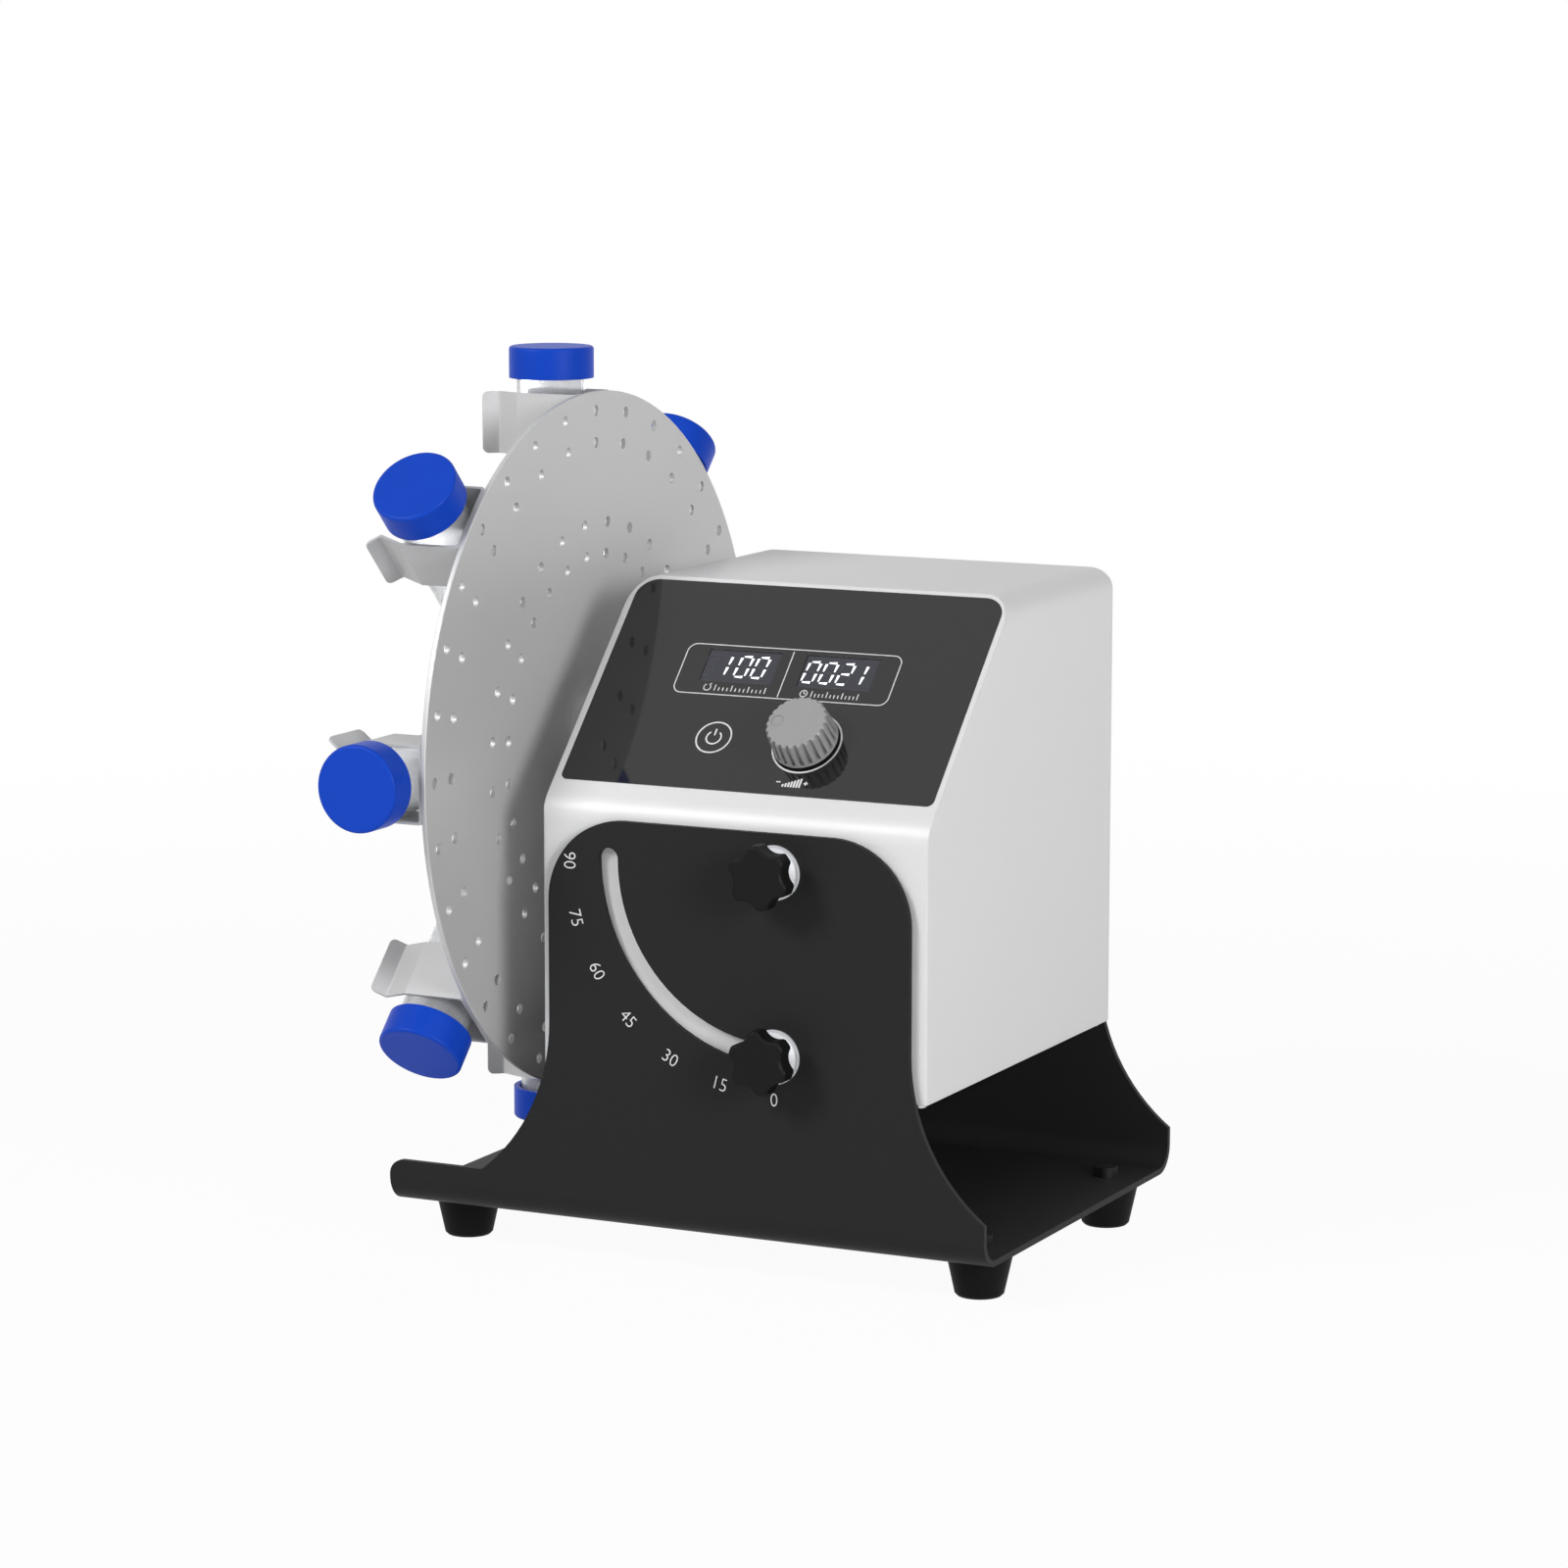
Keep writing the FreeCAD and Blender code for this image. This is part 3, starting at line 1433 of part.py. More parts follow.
def make_cap(label, turn):
    """A screw cap whose skirt covers the tube's thread."""
    body = new_body(label, tube_axis_at, (Vector(1, 0, 0), turn))
    mouth = tube_mouth
    inner = thread_radius + s.cap_play
    top = mouth + s.cap_top
    edge = s.cap_edge
    profile = new_sketch(body, "XZ")
    draw_outline(
        profile,
        [
            (0, mouth),
            (inner, mouth),
            (inner, mouth - s.cap_skirt),
            (cap_radius, mouth - s.cap_skirt),
            (cap_radius, top - edge),
            (cap_radius - edge, top),
            (0, top),
        ],
        {4: (edge, "left")},
    )
    revolve(body, profile, "V_Axis")
    return body


def make_switch():
    """The rocker switch's case in the rear wall, and the rocker in its well."""
    case = new_body("switch_body", (s.pivot_offset - s.switch_left, housing_half, pivot_height + s.switch_up))
    half_x, half_z, rim = s.switch_half_width, s.switch_half_height, s.bezel_rim
    bezel = new_sketch(case, "XZ")
    draw_box(bezel, (-half_x - rim, -half_z - rim), (half_x + rim, half_z + rim))
    pad(case, bezel, s.bezel_gauge, reverse=True)
    block = new_sketch(case, "XZ")
    draw_box(block, (-half_x, -half_z), (half_x, half_z))
    pad(case, block, s.switch_depth)
    well = new_sketch(case, "XZ", (0, 0, -s.bezel_gauge))
    play = s.rocker_play
    draw_box(
        well,
        (-s.rocker_half_width - play, -s.rocker_half_height - play),
        (s.rocker_half_width + play, s.rocker_half_height + play),
    )
    pocket(case, well, s.bezel_gauge + s.rocker_well, reverse=True)

    rocker = new_body(
        "power_rocker",
        (s.pivot_offset - s.switch_left, housing_half, pivot_height + s.switch_up),
        (Vector(1, 0, 0), -s.rocker_tilt),
    )
    side = new_sketch(rocker, "YZ", (0, 0, -s.rocker_half_width))
    draw_outline(
        side,
        [
            (-s.rocker_root, -s.rocker_root_half),
            (s.rocker_rise, -s.rocker_half_height),
            (s.rocker_rise - s.rocker_dip, 0),
            (s.rocker_rise, s.rocker_half_height),
            (-s.rocker_root, s.rocker_root_half),
        ],
    )
    pad(rocker, side, s.rocker_half_width * 2)
    return case, rocker


def make_inlet():
    """The low-voltage inlet, bare: no lead is plugged in."""
    body = new_body("power_inlet", (s.pivot_offset - s.inlet_left, housing_half, pivot_height + s.inlet_up))
    profile = new_sketch(body, "XY")
    out, depth = s.inlet_flange, s.inlet_depth
    draw_outline(
        profile,
        [
            (0, -depth),
            (s.inlet_radius, -depth),
            (s.inlet_radius, 0),
            (s.inlet_flange_radius, 0),
            (s.inlet_flange_radius, out),
            (s.inlet_bore, out),
            (s.inlet_bore, out - s.inlet_bore_depth),
            (s.inlet_pin, out - s.inlet_bore_depth),
            (s.inlet_pin, 0),
            (0, 0),
        ],
    )
    revolve(body, profile, "V_Axis")
    return body


def build():
    parts = [make_stand_frame()]
    parts += make_feet()
    parts += [make_foot_screws(), make_foot_nuts()]
    parts += [make_housing_shell(), make_bottom_cover(), make_small_screws()]
    parts += [make_control_panel(), make_displays(), make_control_board()]
    parts += [*make_encoder(), make_speed_knob()]
    parts += [make_collars(), make_inserts(), make_rear_bolt()]
    for name, z in (("pivot", 0), ("lock", -s.slot_radius)):
        parts += [make_star_knob(name + "_knob", z), make_stud(name + "_stud", z)]
    parts += [make_bearing_block(), make_bearings(), make_drive_screws()]
    parts += [make_gear_motor(), make_motor_shaft(), make_spindle()]
    parts += [make_hub(), make_disc(), make_hub_screws(), make_clip_screws()]
    for number in range(int(s.tube_count.value)):
        turn = as_size(number) * tube_step
        parts += [
            make_clip(f"clip_{number + 1}", turn),
            make_tube(f"tube_{number + 1}", turn),
            make_cap(f"cap_{number + 1}", turn),
        ]
    parts += [*make_switch(), make_inlet()]
    return parts


def check(parts):
    doc.recompute()
    for thing in doc.Objects:
        if "Invalid" in thing.State or "Error" in thing.State:
            raise RuntimeError(f"{thing.Label} failed: {thing.State}")
    for body in parts:
        if body.Shape.isNull() or not body.Shape.isValid():
            raise RuntimeError(f"{body.Label} has no valid shape")


def write(parts):
    os.makedirs("parts", exist_ok=True)
    for body in parts:
        body.Shape.exportStep(os.path.join("parts", body.Label + ".step"))
        print(f"{body.Label}: {len(body.Shape.Solids)} solids, {body.Shape.Volume:.1f} mm3")


parts = build()
check(parts)
write(parts)
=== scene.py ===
import json
import math

import bmesh
import bpy
from mathutils import Matrix, Vector


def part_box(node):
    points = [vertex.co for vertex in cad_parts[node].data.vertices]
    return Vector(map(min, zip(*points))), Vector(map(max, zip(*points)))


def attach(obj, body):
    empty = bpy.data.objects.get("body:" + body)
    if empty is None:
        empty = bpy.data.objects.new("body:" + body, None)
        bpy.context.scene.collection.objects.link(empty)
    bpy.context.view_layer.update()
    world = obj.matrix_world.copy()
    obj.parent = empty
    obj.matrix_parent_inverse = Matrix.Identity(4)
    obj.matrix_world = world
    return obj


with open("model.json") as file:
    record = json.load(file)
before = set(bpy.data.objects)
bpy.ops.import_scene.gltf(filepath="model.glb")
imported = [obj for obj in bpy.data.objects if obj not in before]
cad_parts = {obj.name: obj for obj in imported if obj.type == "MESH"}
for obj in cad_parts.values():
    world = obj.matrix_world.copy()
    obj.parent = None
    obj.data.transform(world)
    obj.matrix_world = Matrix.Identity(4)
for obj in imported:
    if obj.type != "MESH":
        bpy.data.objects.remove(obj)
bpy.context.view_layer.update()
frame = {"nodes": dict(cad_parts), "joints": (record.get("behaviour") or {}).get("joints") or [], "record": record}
nodes = frame["nodes"]
joints = {joint["name"]: joint for joint in frame["joints"]}
print("frame loaded:", len(nodes), "nodes")

mm = 0.001  # the pieces below are set in millimetres
sideways = Vector((1, 0, 0))
upwards = Vector((0, 0, 1))
frontwards = Vector((0, -1, 0))
white = (1, 1, 1, 1)

# places that the frame gives
pivot = Vector(joints["tilt"]["pos_m"])
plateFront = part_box("stand_frame")[0].y
panelOut = Vector(joints["speed_turn"]["axis"]).normalized()
panelUp = panelOut.cross(sideways)
knobFoot = Vector(joints["speed_turn"]["pos_m"])
panelLevel = max(vertex.co.dot(panelOut) for vertex in nodes["control_panel"].data.vertices)
knobFoot += panelOut * (panelLevel - knobFoot.dot(panelOut))
tubeCount = sum(name.startswith("tube_") for name in nodes)


def placeOf(across, up, out, at):
    place = Matrix((across, up, out)).transposed().to_4x4()
    place.translation = at
    return place


def onPanel(right, up, lift=0.0):
    # right of and above the speed knob's foot, lifted off the panel
    at = knobFoot + (sideways * right + panelUp * up + panelOut * lift) * mm
    return placeOf(sideways, panelUp, panelOut, at)


def onPlate(right, up, lift, turn):
    # right of and above the pivot, on the front upright
    at = Vector((pivot.x + right * mm, plateFront - lift * mm, pivot.z + up * mm))
    place = placeOf(sideways, upwards, frontwards, at)
    return place @ Matrix.Rotation(math.radians(turn), 4, "Z")


# shader sums written as plain Python

class Wire:
    def __init__(self, web, socket):
        self.web = web
        self.socket = socket

    def sum(self, sign, other):
        return self.web.add("ShaderNodeMath", {"operation": sign}, {0: self, 1: other})

    def __add__(self, other):
        return self.sum("ADD", other)

    def __mul__(self, other):
        return self.sum("MULTIPLY", other)

    __radd__ = __add__
    __rmul__ = __mul__


class Web:
    # the nodes of one material or world
    def __init__(self, tree):
        self.tree = tree

    def fill(self, node, key, value):
        # a link where a wire is given, the socket's own value otherwise
        socket = node.inputs[key]
        if isinstance(value, Wire):
            self.tree.links.new(value.socket, socket)
        else:
            socket.default_value = value

    def add(self, kind, settings=None, sockets=None, output=0):
        node = self.tree.nodes.new(kind)
        for word, value in (settings or {}).items():
            setattr(node, word, value)
        for key, value in (sockets or {}).items():
            self.fill(node, key, value)
        return Wire(self, node.outputs[output])


mixFirst, mixSecond, mixOut = 6, 7, 2  # the colour sockets of a Mix node


class Paint(Web):
    def __init__(self, name, colour, roughness, metallic=0.0, **constants):
        self.material = bpy.data.materials.new(name)
        self.material.use_nodes = True
        self.material.diffuse_color = (*colour, 1)
        super().__init__(self.material.node_tree)
        self.shader = self.tree.nodes["Principled BSDF"]
        self.colour = colour
        self.roughness = roughness
        self.set("Base Color", (*colour, 1))
        self.set("Roughness", roughness)
        self.set("Metallic", metallic)
        for word, value in constants.items():
            self.set(word.replace("_", " "), value)

    def set(self, socket, value):
        self.fill(self.shader, socket, value)

    def place(self, stretch=(1, 1, 1)):
        coordinates = self.add("ShaderNodeTexCoord", output="Object")
        return self.add("ShaderNodeMapping", None, {"Vector": coordinates, "Scale": stretch})

    def noise(self, scale, detail=2.0, stretch=(1, 1, 1), rough=0.5):
        return self.add("ShaderNodeTexNoise", None, {
            "Vector": self.place(stretch), "Scale": scale, "Detail": detail,
            "Roughness": rough}, "Fac")

    def shade(self, mask, dark):
        # the colour goes over to a share of itself where the mask is 1
        darker = tuple(part * dark for part in self.colour)
        self.set("Base Color", self.add("ShaderNodeMix", {"data_type": "RGBA"}, {
            "Factor": mask, mixFirst: (*self.colour, 1), mixSecond: (*darker, 1)}, mixOut))

    def vary(self, mask, spread):
        # the roughness wanders by that much about its middle
        self.set("Roughness", self.roughness - spread / 2 + mask * spread)

    def bump(self, height, strength, depth, edge=0.0):
        # edge rounds the corners of the shading by that many metres
        sockets = {"Height": height, "Strength": strength, "Distance": depth}
        if edge:
            sockets["Normal"] = self.add("ShaderNodeBevel", {"samples": 4}, {"Radius": edge})
        self.set("Normal", self.add("ShaderNodeBump", None, sockets))


def enamel(name, colour, roughness, shine, grain, edge, clouding):
    # sprayed and baked finish: fine orange peel, very faint clouds
    paint = Paint(name, colour, roughness, Specular_IOR_Level=shine)
    peel = paint.noise(grain["scale"], detail=3.0)
    clouds = paint.noise(grain["clouds"])
    paint.shade(clouds * clouding, dark=0.8)
    paint.vary(clouds, spread=0.08)
    paint.bump(peel, grain["strength"], grain["depth"], edge)
    return paint.material


def moulded(name, colour, roughness, shine, grain, edge, clouding=0.3):
    # spark-eroded moulding skin
    paint = Paint(name, colour, roughness, Specular_IOR_Level=shine)
    skin = paint.noise(grain["scale"], detail=4.0, rough=0.65)
    clouds = paint.noise(scale=60.0)
    paint.shade(clouds * clouding, dark=0.75)
    paint.vary(skin, spread=0.1)
    paint.bump(skin, grain["strength"], grain["depth"], edge)
    return paint.material


def metalwork(name, colour, roughness, metallic, stretch, scale, edge, strength=0.15):
    # drawn, turned or blasted metal: the noise is stretched along the strokes
    paint = Paint(name, colour, roughness, metallic)
    strokes = paint.noise(scale, detail=4.0, stretch=stretch, rough=0.6)
    streaking = 0.5
    paint.shade(strokes * streaking, dark=0.8)
    paint.vary(strokes, spread=0.12)
    paint.bump(strokes, strength, depth=0.00004, edge=edge)
    return paint.material


def glossSheet(name, colour, roughness=0.03):
    # polished sheet: a breath of haze, and a very slow wave
    paint = Paint(name, colour, roughness)
    hazing = 0.03
    paint.set("Roughness", roughness + paint.noise(scale=25.0, detail=3.0) * hazing)
    paint.bump(paint.noise(scale=9.0), strength=0.02, depth=0.0001, edge=0.0002)
    return paint.material


def clearPlastic(name, colour, roughness):
    # moulded polypropylene: clear with a little haze and flow marks
    paint = Paint(name, colour, roughness, Transmission_Weight=0.82, IOR=1.45)
    flow = paint.noise(scale=70.0, detail=3.0, stretch=(1, 1, 0.3))
    hazing = 0.1
    paint.set("Roughness", roughness + flow * hazing)
    paint.bump(flow, strength=0.05, depth=0.0001)
    return paint.material


def printInk(name, colour, glow=0.0):
    paint = Paint(name, colour, roughness=0.5)
    dots = paint.noise(scale=2500.0)
    coverage = 0.3
    paint.shade(dots * coverage, dark=0.9)
    if glow:
        paint.set("Emission Color", (*colour, 1))
        paint.set("Emission Strength", glow)
    paint.bump(dots, strength=0.1, depth=0.00002)
    return paint.material


finishes = {
    "black_enamel": enamel(
        "blackEnamel", (0.0215, 0.0215, 0.022), 0.5, 0.09,
        {"scale": 1500.0, "clouds": 12.0, "strength": 0.12, "depth": 0.0001},
        edge=0.0003, clouding=0.25),
    "white_plastic": enamel(
        "whiteEnamel", (0.80, 0.80, 0.805), 0.38, 0.5,
        {"scale": 2600.0, "clouds": 9.0, "strength": 0.14, "depth": 0.00008},
        edge=0.0006, clouding=0.06),
    "panel_plastic": glossSheet("glossSheet", (0.0125, 0.0125, 0.013)),
    "display_plastic": glossSheet("displayWindow", (0.030, 0.031, 0.044), 0.08),
    "board_laminate": moulded(
        "solderMask", (0.02, 0.16, 0.06), 0.4, 0.5,
        {"scale": 900.0, "strength": 0.2, "depth": 0.0001}, edge=0.0002),
    "grey_plastic": moulded(
        "greyMoulding", (0.36, 0.36, 0.365), 0.42, 0.4,
        {"scale": 1800.0, "strength": 0.1, "depth": 0.0001}, edge=0.0003),
    "black_plastic": moulded(
        "blackMoulding", (0.0062, 0.0062, 0.0063), 0.5, 0.13,
        {"scale": 1500.0, "strength": 0.15, "depth": 0.0001}, edge=0.0004),
    "black_rubber": moulded(
        "blackRubber", (0.0045, 0.0045, 0.0045), 0.6, 0.1,
        {"scale": 900.0, "strength": 0.3, "depth": 0.0002}, edge=0.0005),
    "cap_plastic": moulded(
        "blueCap", (0.005, 0.062, 0.56), 0.42, 0.14,
        {"scale": 1300.0, "strength": 0.08, "depth": 0.0001}, edge=0.0003, clouding=0.2),
    "turned_aluminium": metalwork(
        "turnedAluminium", (0.86, 0.86, 0.87), 0.34, 0.35, (1, 30, 1), 90.0, edge=0.0003),
    "collar": metalwork(
        "blastedAluminium", (0.80, 0.815, 0.84), 0.46, 0.1, (1, 1, 1), 1500.0,
        edge=0.0003, strength=0.08),
    "machined_aluminium": metalwork(
        "machinedAluminium", (0.62, 0.62, 0.625), 0.36, 0.6, (30, 1, 1), 60.0, edge=0.0004),
    "disc_aluminium": metalwork(
        "satinAluminium", (0.64, 0.64, 0.642), 0.48, 0.3, (1, 1, 1), 1800.0,
        edge=0.0003, strength=0.08),
    "bright_steel": metalwork(
        "brightSteel", (0.62, 0.62, 0.63), 0.28, 0.9, (1, 1, 12), 120.0, edge=0.0002),
    "black_steel": metalwork(
        "blackSteel", (0.02, 0.02, 0.021), 0.4, 0.6, (1, 1, 12), 120.0, edge=0.0002),
    "clip_steel": metalwork(
        "springSteel", (0.64, 0.64, 0.645), 0.48, 0.2, (1, 1, 1), 1400.0,
        edge=0.0002, strength=0.1),
    "brass_insert": metalwork(
        "turnedBrass", (0.75, 0.55, 0.25), 0.3, 0.9, (1, 20, 1), 80.0, edge=0.0002),
    "clear_plastic": clearPlastic("clearTube", (0.90, 0.91, 0.925), 0.1),
}
whiteInk = printInk("whiteInk", (0.82, 0.82, 0.82))
greyInk = printInk("greyInk", (0.05, 0.052, 0.056))
litInk = printInk("litSegments", (0.9, 0.92, 0.95), glow=0.9)
dimInk = printInk("dimSegments", (0.033, 0.034, 0.047))
print("finishes made:", len(bpy.data.materials))

for entry in frame["record"]["subparts"]:
    finish = "collar" if entry["node"] == "knob_collars" else entry["material_slot"]
    for holder in nodes[entry["node"]].material_slots:
        holder.material = finishes[finish]


# small modelling helpers

def startPiece():
    if bpy.context.object and bpy.context.object.mode != "OBJECT":
        bpy.ops.object.mode_set(mode="OBJECT")
    bpy.ops.object.select_all(action="DESELECT")


def only(piece):
    startPiece()
    piece.select_set(True)
    bpy.context.view_layer.objects.active = piece


def editAll():
    bpy.ops.object.mode_set(mode="EDIT")
    bpy.ops.mesh.select_all(action="SELECT")


def endEdit():
    bpy.ops.object.mode_set(mode="OBJECT")


def fixTransform():
    bpy.ops.object.transform_apply(location=True, rotation=True, scale=True)


def settle(piece, name, place, material, body):
    # puts a piece modelled at the origin in its place, in its mesh
    only(piece)
    piece.name = name
    piece.data.name = name
    piece.matrix_world = place @ piece.matrix_world
    fixTransform()
    piece.data.materials.clear()
    piece.data.materials.append(material)
    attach(piece, body)


def joined(pieces):
    startPiece()
    for piece in pieces:
        piece.select_set(True)
    bpy.context.view_layer.objects.active = pieces[0]
    bpy.ops.object.join()
    return bpy.context.object


def raiseFlat(thick):
    # a flat sheet on the ground plane, grown upwards into a closed slab
    editAll()
    bpy.ops.mesh.extrude_region_move(TRANSFORM_OT_translate={"value": (0, 0, thick * mm)})
    bpy.ops.mesh.select_all(action="SELECT")
    bpy.ops.mesh.normals_make_consistent(inside=False)
    endEdit()


def hollowOut(line):
    # keeps only a line round the edge of the selected face
    bpy.ops.mesh.inset(thickness=line * mm, depth=0)
    bpy.ops.mesh.delete(type="FACE")


def openTop(ring, gap):
    # takes out the top of a ring by that many degrees
    bpy.ops.mesh.select_all(action="DESELECT")
    mesh = bmesh.from_edit_mesh(ring.data)
    for face in mesh.faces:
        middle = face.calc_center_median()
        face.select_set(abs(math.atan2(middle.x, middle.y)) < math.radians(gap / 2))
    bmesh.update_edit_mesh(ring.data)
    bpy.ops.mesh.delete(type="FACE")


def inkRing(radius, line, thick, sides=96, gap=None):
    startPiece()
    bpy.ops.mesh.primitive_circle_add(
        vertices=sides, radius=(radius + line / 2) * mm, fill_type="NGON")
    ring = bpy.context.object
    editAll()
    hollowOut(line)
    if gap:
        openTop(ring, gap)
    endEdit()
    raiseFlat(thick)
    return ring


def inkBar(width, height, thick, right=0.0, up=0.0, turn=0.0):
    rounding = 0.35  # of the bar's narrower side
    startPiece()
    bpy.ops.mesh.primitive_plane_add(
        size=1, location=(right * mm, up * mm, 0), rotation=(0, 0, math.radians(turn)))
    bar = bpy.context.object
    bar.scale = (width * mm, height * mm, 1)
    fixTransform()
    editAll()
    bpy.ops.mesh.bevel(
        offset=min(width, height) * rounding * mm, segments=3, affect="VERTICES")
    endEdit()
    raiseFlat(thick)
    return bar


def inkFrame(width, height, corner, line, thick):
    startPiece()
    bpy.ops.mesh.primitive_plane_add(size=1)
    outline = bpy.context.object
    outline.scale = (width * mm, height * mm, 1)
    fixTransform()
    editAll()
    bpy.ops.mesh.bevel(offset=corner * mm, segments=12, affect="VERTICES")
    bpy.ops.mesh.select_all(action="SELECT")
    hollowOut(line)
    endEdit()
    raiseFlat(thick)
    return outline


def flatText(words, height, thick, thin=0.0):
    # upright text centred on the origin, as a closed mesh; thin moves its outline
    startPiece()
    bpy.ops.object.text_add()
    text = bpy.context.object
    text.data.body = words
    text.data.resolution_u = 4
    text.data.extrude = thick * mm / 2
    bpy.context.view_layer.update()
    text.data.size = height * mm / text.dimensions.y
    text.data.offset = thin * mm
    bpy.ops.object.convert(target="MESH")
    text = bpy.context.object
    corners = [Vector(corner) for corner in text.bound_box]
    middle = sum(corners, Vector()) / len(corners)
    text.data.transform(Matrix.Translation(-middle))
    editAll()
    bpy.ops.mesh.remove_doubles(threshold=0.000005)
    bpy.ops.mesh.normals_make_consistent(inside=False)
    endEdit()
    return text


# tilt scale: plain degree numbers round the slot
tiltScale = {
    "radius": 88.5, "height": 5.3, "stretch": 0.94, "thin": -0.09, "thick": 0.06,
    "nudge": {0: (-0.2, -0.5), 15: (-0.3, 0.5), 30: (-0.7, 0.0), 45: (-0.9, 0.0),
              60: (-0.3, -0.7), 75: (-0.7, -1.6), 90: (-0.4, -2.0)},
}


def makeTiltScale():
    thick = tiltScale["thick"]
    for angle, (aside, above) in tiltScale["nudge"].items():
        number = flatText(str(angle), tiltScale["height"], thick, tiltScale["thin"])
        number.data.transform(Matrix.Diagonal((tiltScale["stretch"], 1, 1, 1)))
        swing = math.radians(angle)
        right = aside - tiltScale["radius"] * math.sin(swing)
        up = above - tiltScale["radius"] * math.cos(swing)
        place = onPlate(right, up, thick / 2, -angle)
        settle(number, f"tiltNumber{angle}", place, whiteInk, "stand")


makeTiltScale()
print("tilt scale made")

# control panel print; places are the panel's, from the speed knob
panelPrint = {
    "thick": 0.05,
    "frame": {"at": (-19.55, 32.3), "width": 93.3, "height": 24.6, "corner": 4.0,
              "line": 0.42},
    "divider": {"at": (-20.0, 32.1), "height": 22.3, "line": 0.42},
    "knobRing": {"at": (0.0, 0.0), "radius": 14.1, "line": 0.75},
    "key": {"at": (-40.2, -0.4), "radius": 7.3, "line": 0.65},
    # the usual sign for power: a broken ring with a bar
    "power": {"radius": 3.1, "line": 0.65, "gap": 70, "bar": 3.2, "rise": 2.6},
    # less and more, with a growing row of bars between
    "wedge": {"at": (0.0, -19.0), "width": 9.4, "sink": 2.2, "bars": 7, "line": 0.8,
              "first": 1.3, "growth": 0.52},
    "lessMore": {"size": 1.9, "line": 0.55, "away": 1.1},
    # under the displays: a turning arrow with ticks, and a clock with ticks
    "arrow": {"at": (-39.5, 23.5), "width": 27.0, "gap": 60,
              "strokes": [(1.2, 0.36, 1.0, 1.6, 35), (1.2, 0.36, 1.1, 0.9, -70)]},
    "clock": {"at": (1.5, 23.5), "width": 25.0, "gap": None,
              "strokes": [(0.36, 1.1, 0.0, 0.5, 0), (0.9, 0.36, 0.4, 0.0, 0)]},
    "sign": {"inset": 1.6, "radius": 1.5, "line": 0.4},
    "ticks": {"count": 13, "longEvery": 4, "long": 2.9, "short": 1.7, "line": 0.42,
              "after": 3.4, "spare": 5.2},
}


def printed(piece, name, at):
    settle(piece, name, onPanel(*at), whiteInk, "housing")


def makeRings():
    thick = panelPrint["thick"]
    for name, ring in (("knobRing", panelPrint["knobRing"]), ("keyRing", panelPrint["key"])):
        printed(inkRing(ring["radius"], ring["line"], thick), name, ring["at"])


def makeDisplayFrame():
    thick = panelPrint["thick"]
    box = panelPrint["frame"]
    outline = inkFrame(box["width"], box["height"], box["corner"], box["line"], thick)
    printed(outline, "displayFrame", box["at"])
    bar = panelPrint["divider"]
    printed(inkBar(bar["line"], bar["height"], thick), "displayDivider", bar["at"])


def makeKeySign():
    thick = panelPrint["thick"]
    power = panelPrint["power"]
    line = power["line"]
    ring = inkRing(power["radius"], line, thick, sides=48, gap=power["gap"])
    bar = inkBar(line, power["bar"], thick, up=power["rise"])
    printed(joined([ring, bar]), "keySign", panelPrint["key"]["at"])


def makeSpeedSign():
    thick = panelPrint["thick"]
    wedge = panelPrint["wedge"]
    bars = []
    for step in range(wedge["bars"]):
        tall = wedge["first"] + wedge["growth"] * step
        right = (step - wedge["bars"] // 2) * wedge["width"] / (wedge["bars"] + 1)
        bars.append(inkBar(wedge["line"], tall, thick, right, tall / 2 - wedge["sink"]))
    sign = panelPrint["lessMore"]
    size, line = sign["size"], sign["line"]
    aside = wedge["width"] / 2 + sign["away"]
    for width, height, right in ((size, line, -aside), (size, line, aside), (line, size, aside)):
        bars.append(inkBar(width, height, thick, right))
    printed(joined(bars), "speedSign", wedge["at"])


def makeCaption(name, row):
    thick = panelPrint["thick"]
    sign, ticks = panelPrint["sign"], panelPrint["ticks"]
    start = -row["width"] / 2 + sign["inset"]
    ring = inkRing(sign["radius"], sign["line"], thick, sides=40, gap=row["gap"])
    ring.location.x = start * mm
    fixTransform()
    marks = [ring]
    for width, height, right, up, turn in row["strokes"]:
        marks.append(inkBar(width, height, thick, start + right, up, turn))
    for tick in range(ticks["count"]):
        tall = ticks["short"] if tick % ticks["longEvery"] else ticks["long"]
        along = tick * (row["width"] - ticks["spare"]) / (ticks["count"] - 1)
        right = start + ticks["after"] + along
        marks.append(inkBar(ticks["line"], tall, thick, right, (tall - ticks["long"]) / 2))
    printed(joined(marks), name, row["at"])


makeDisplayFrame()
makeRings()
makeKeySign()
makeSpeedSign()
makeCaption("displayMark1", panelPrint["arrow"])
makeCaption("displayMark2", panelPrint["clock"])
print("panel print made")

# seven-segment readings; last is the place of the last sign
readings = {
    "tall": 10.0, "wide": 4.8, "line": 1.0, "gap": 0.2, "lean": 7.0, "thick": 0.08,
    "pitch": 7.33, "narrowShift": -1.7, "lift": -0.3, "places": 4,
    "speed": {"text": "100", "last": (-32.1, 34.6)},
    "time": {"text": "0021", "last": (12.2, 34.2)},
}
segmentsOf = {"0": "abcdef", "1": "bc", "2": "abged", " ": ""}


def makeSegment(length, width, thick):
    # a bar with pointed ends, from a hexagon
    startPiece()
    bpy.ops.mesh.primitive_circle_add(vertices=6, radius=length * mm / 2, fill_type="NGON")
    segment = bpy.context.object
    segment.scale.y = width / (math.sqrt(3) / 2 * length)
    fixTransform()
    for vertex in segment.data.vertices:
        if abs(vertex.co.y) > width * mm / 4:
            vertex.co.x = math.copysign((length - width) * mm / 2, vertex.co.x)
    raiseFlat(thick)
    return segment


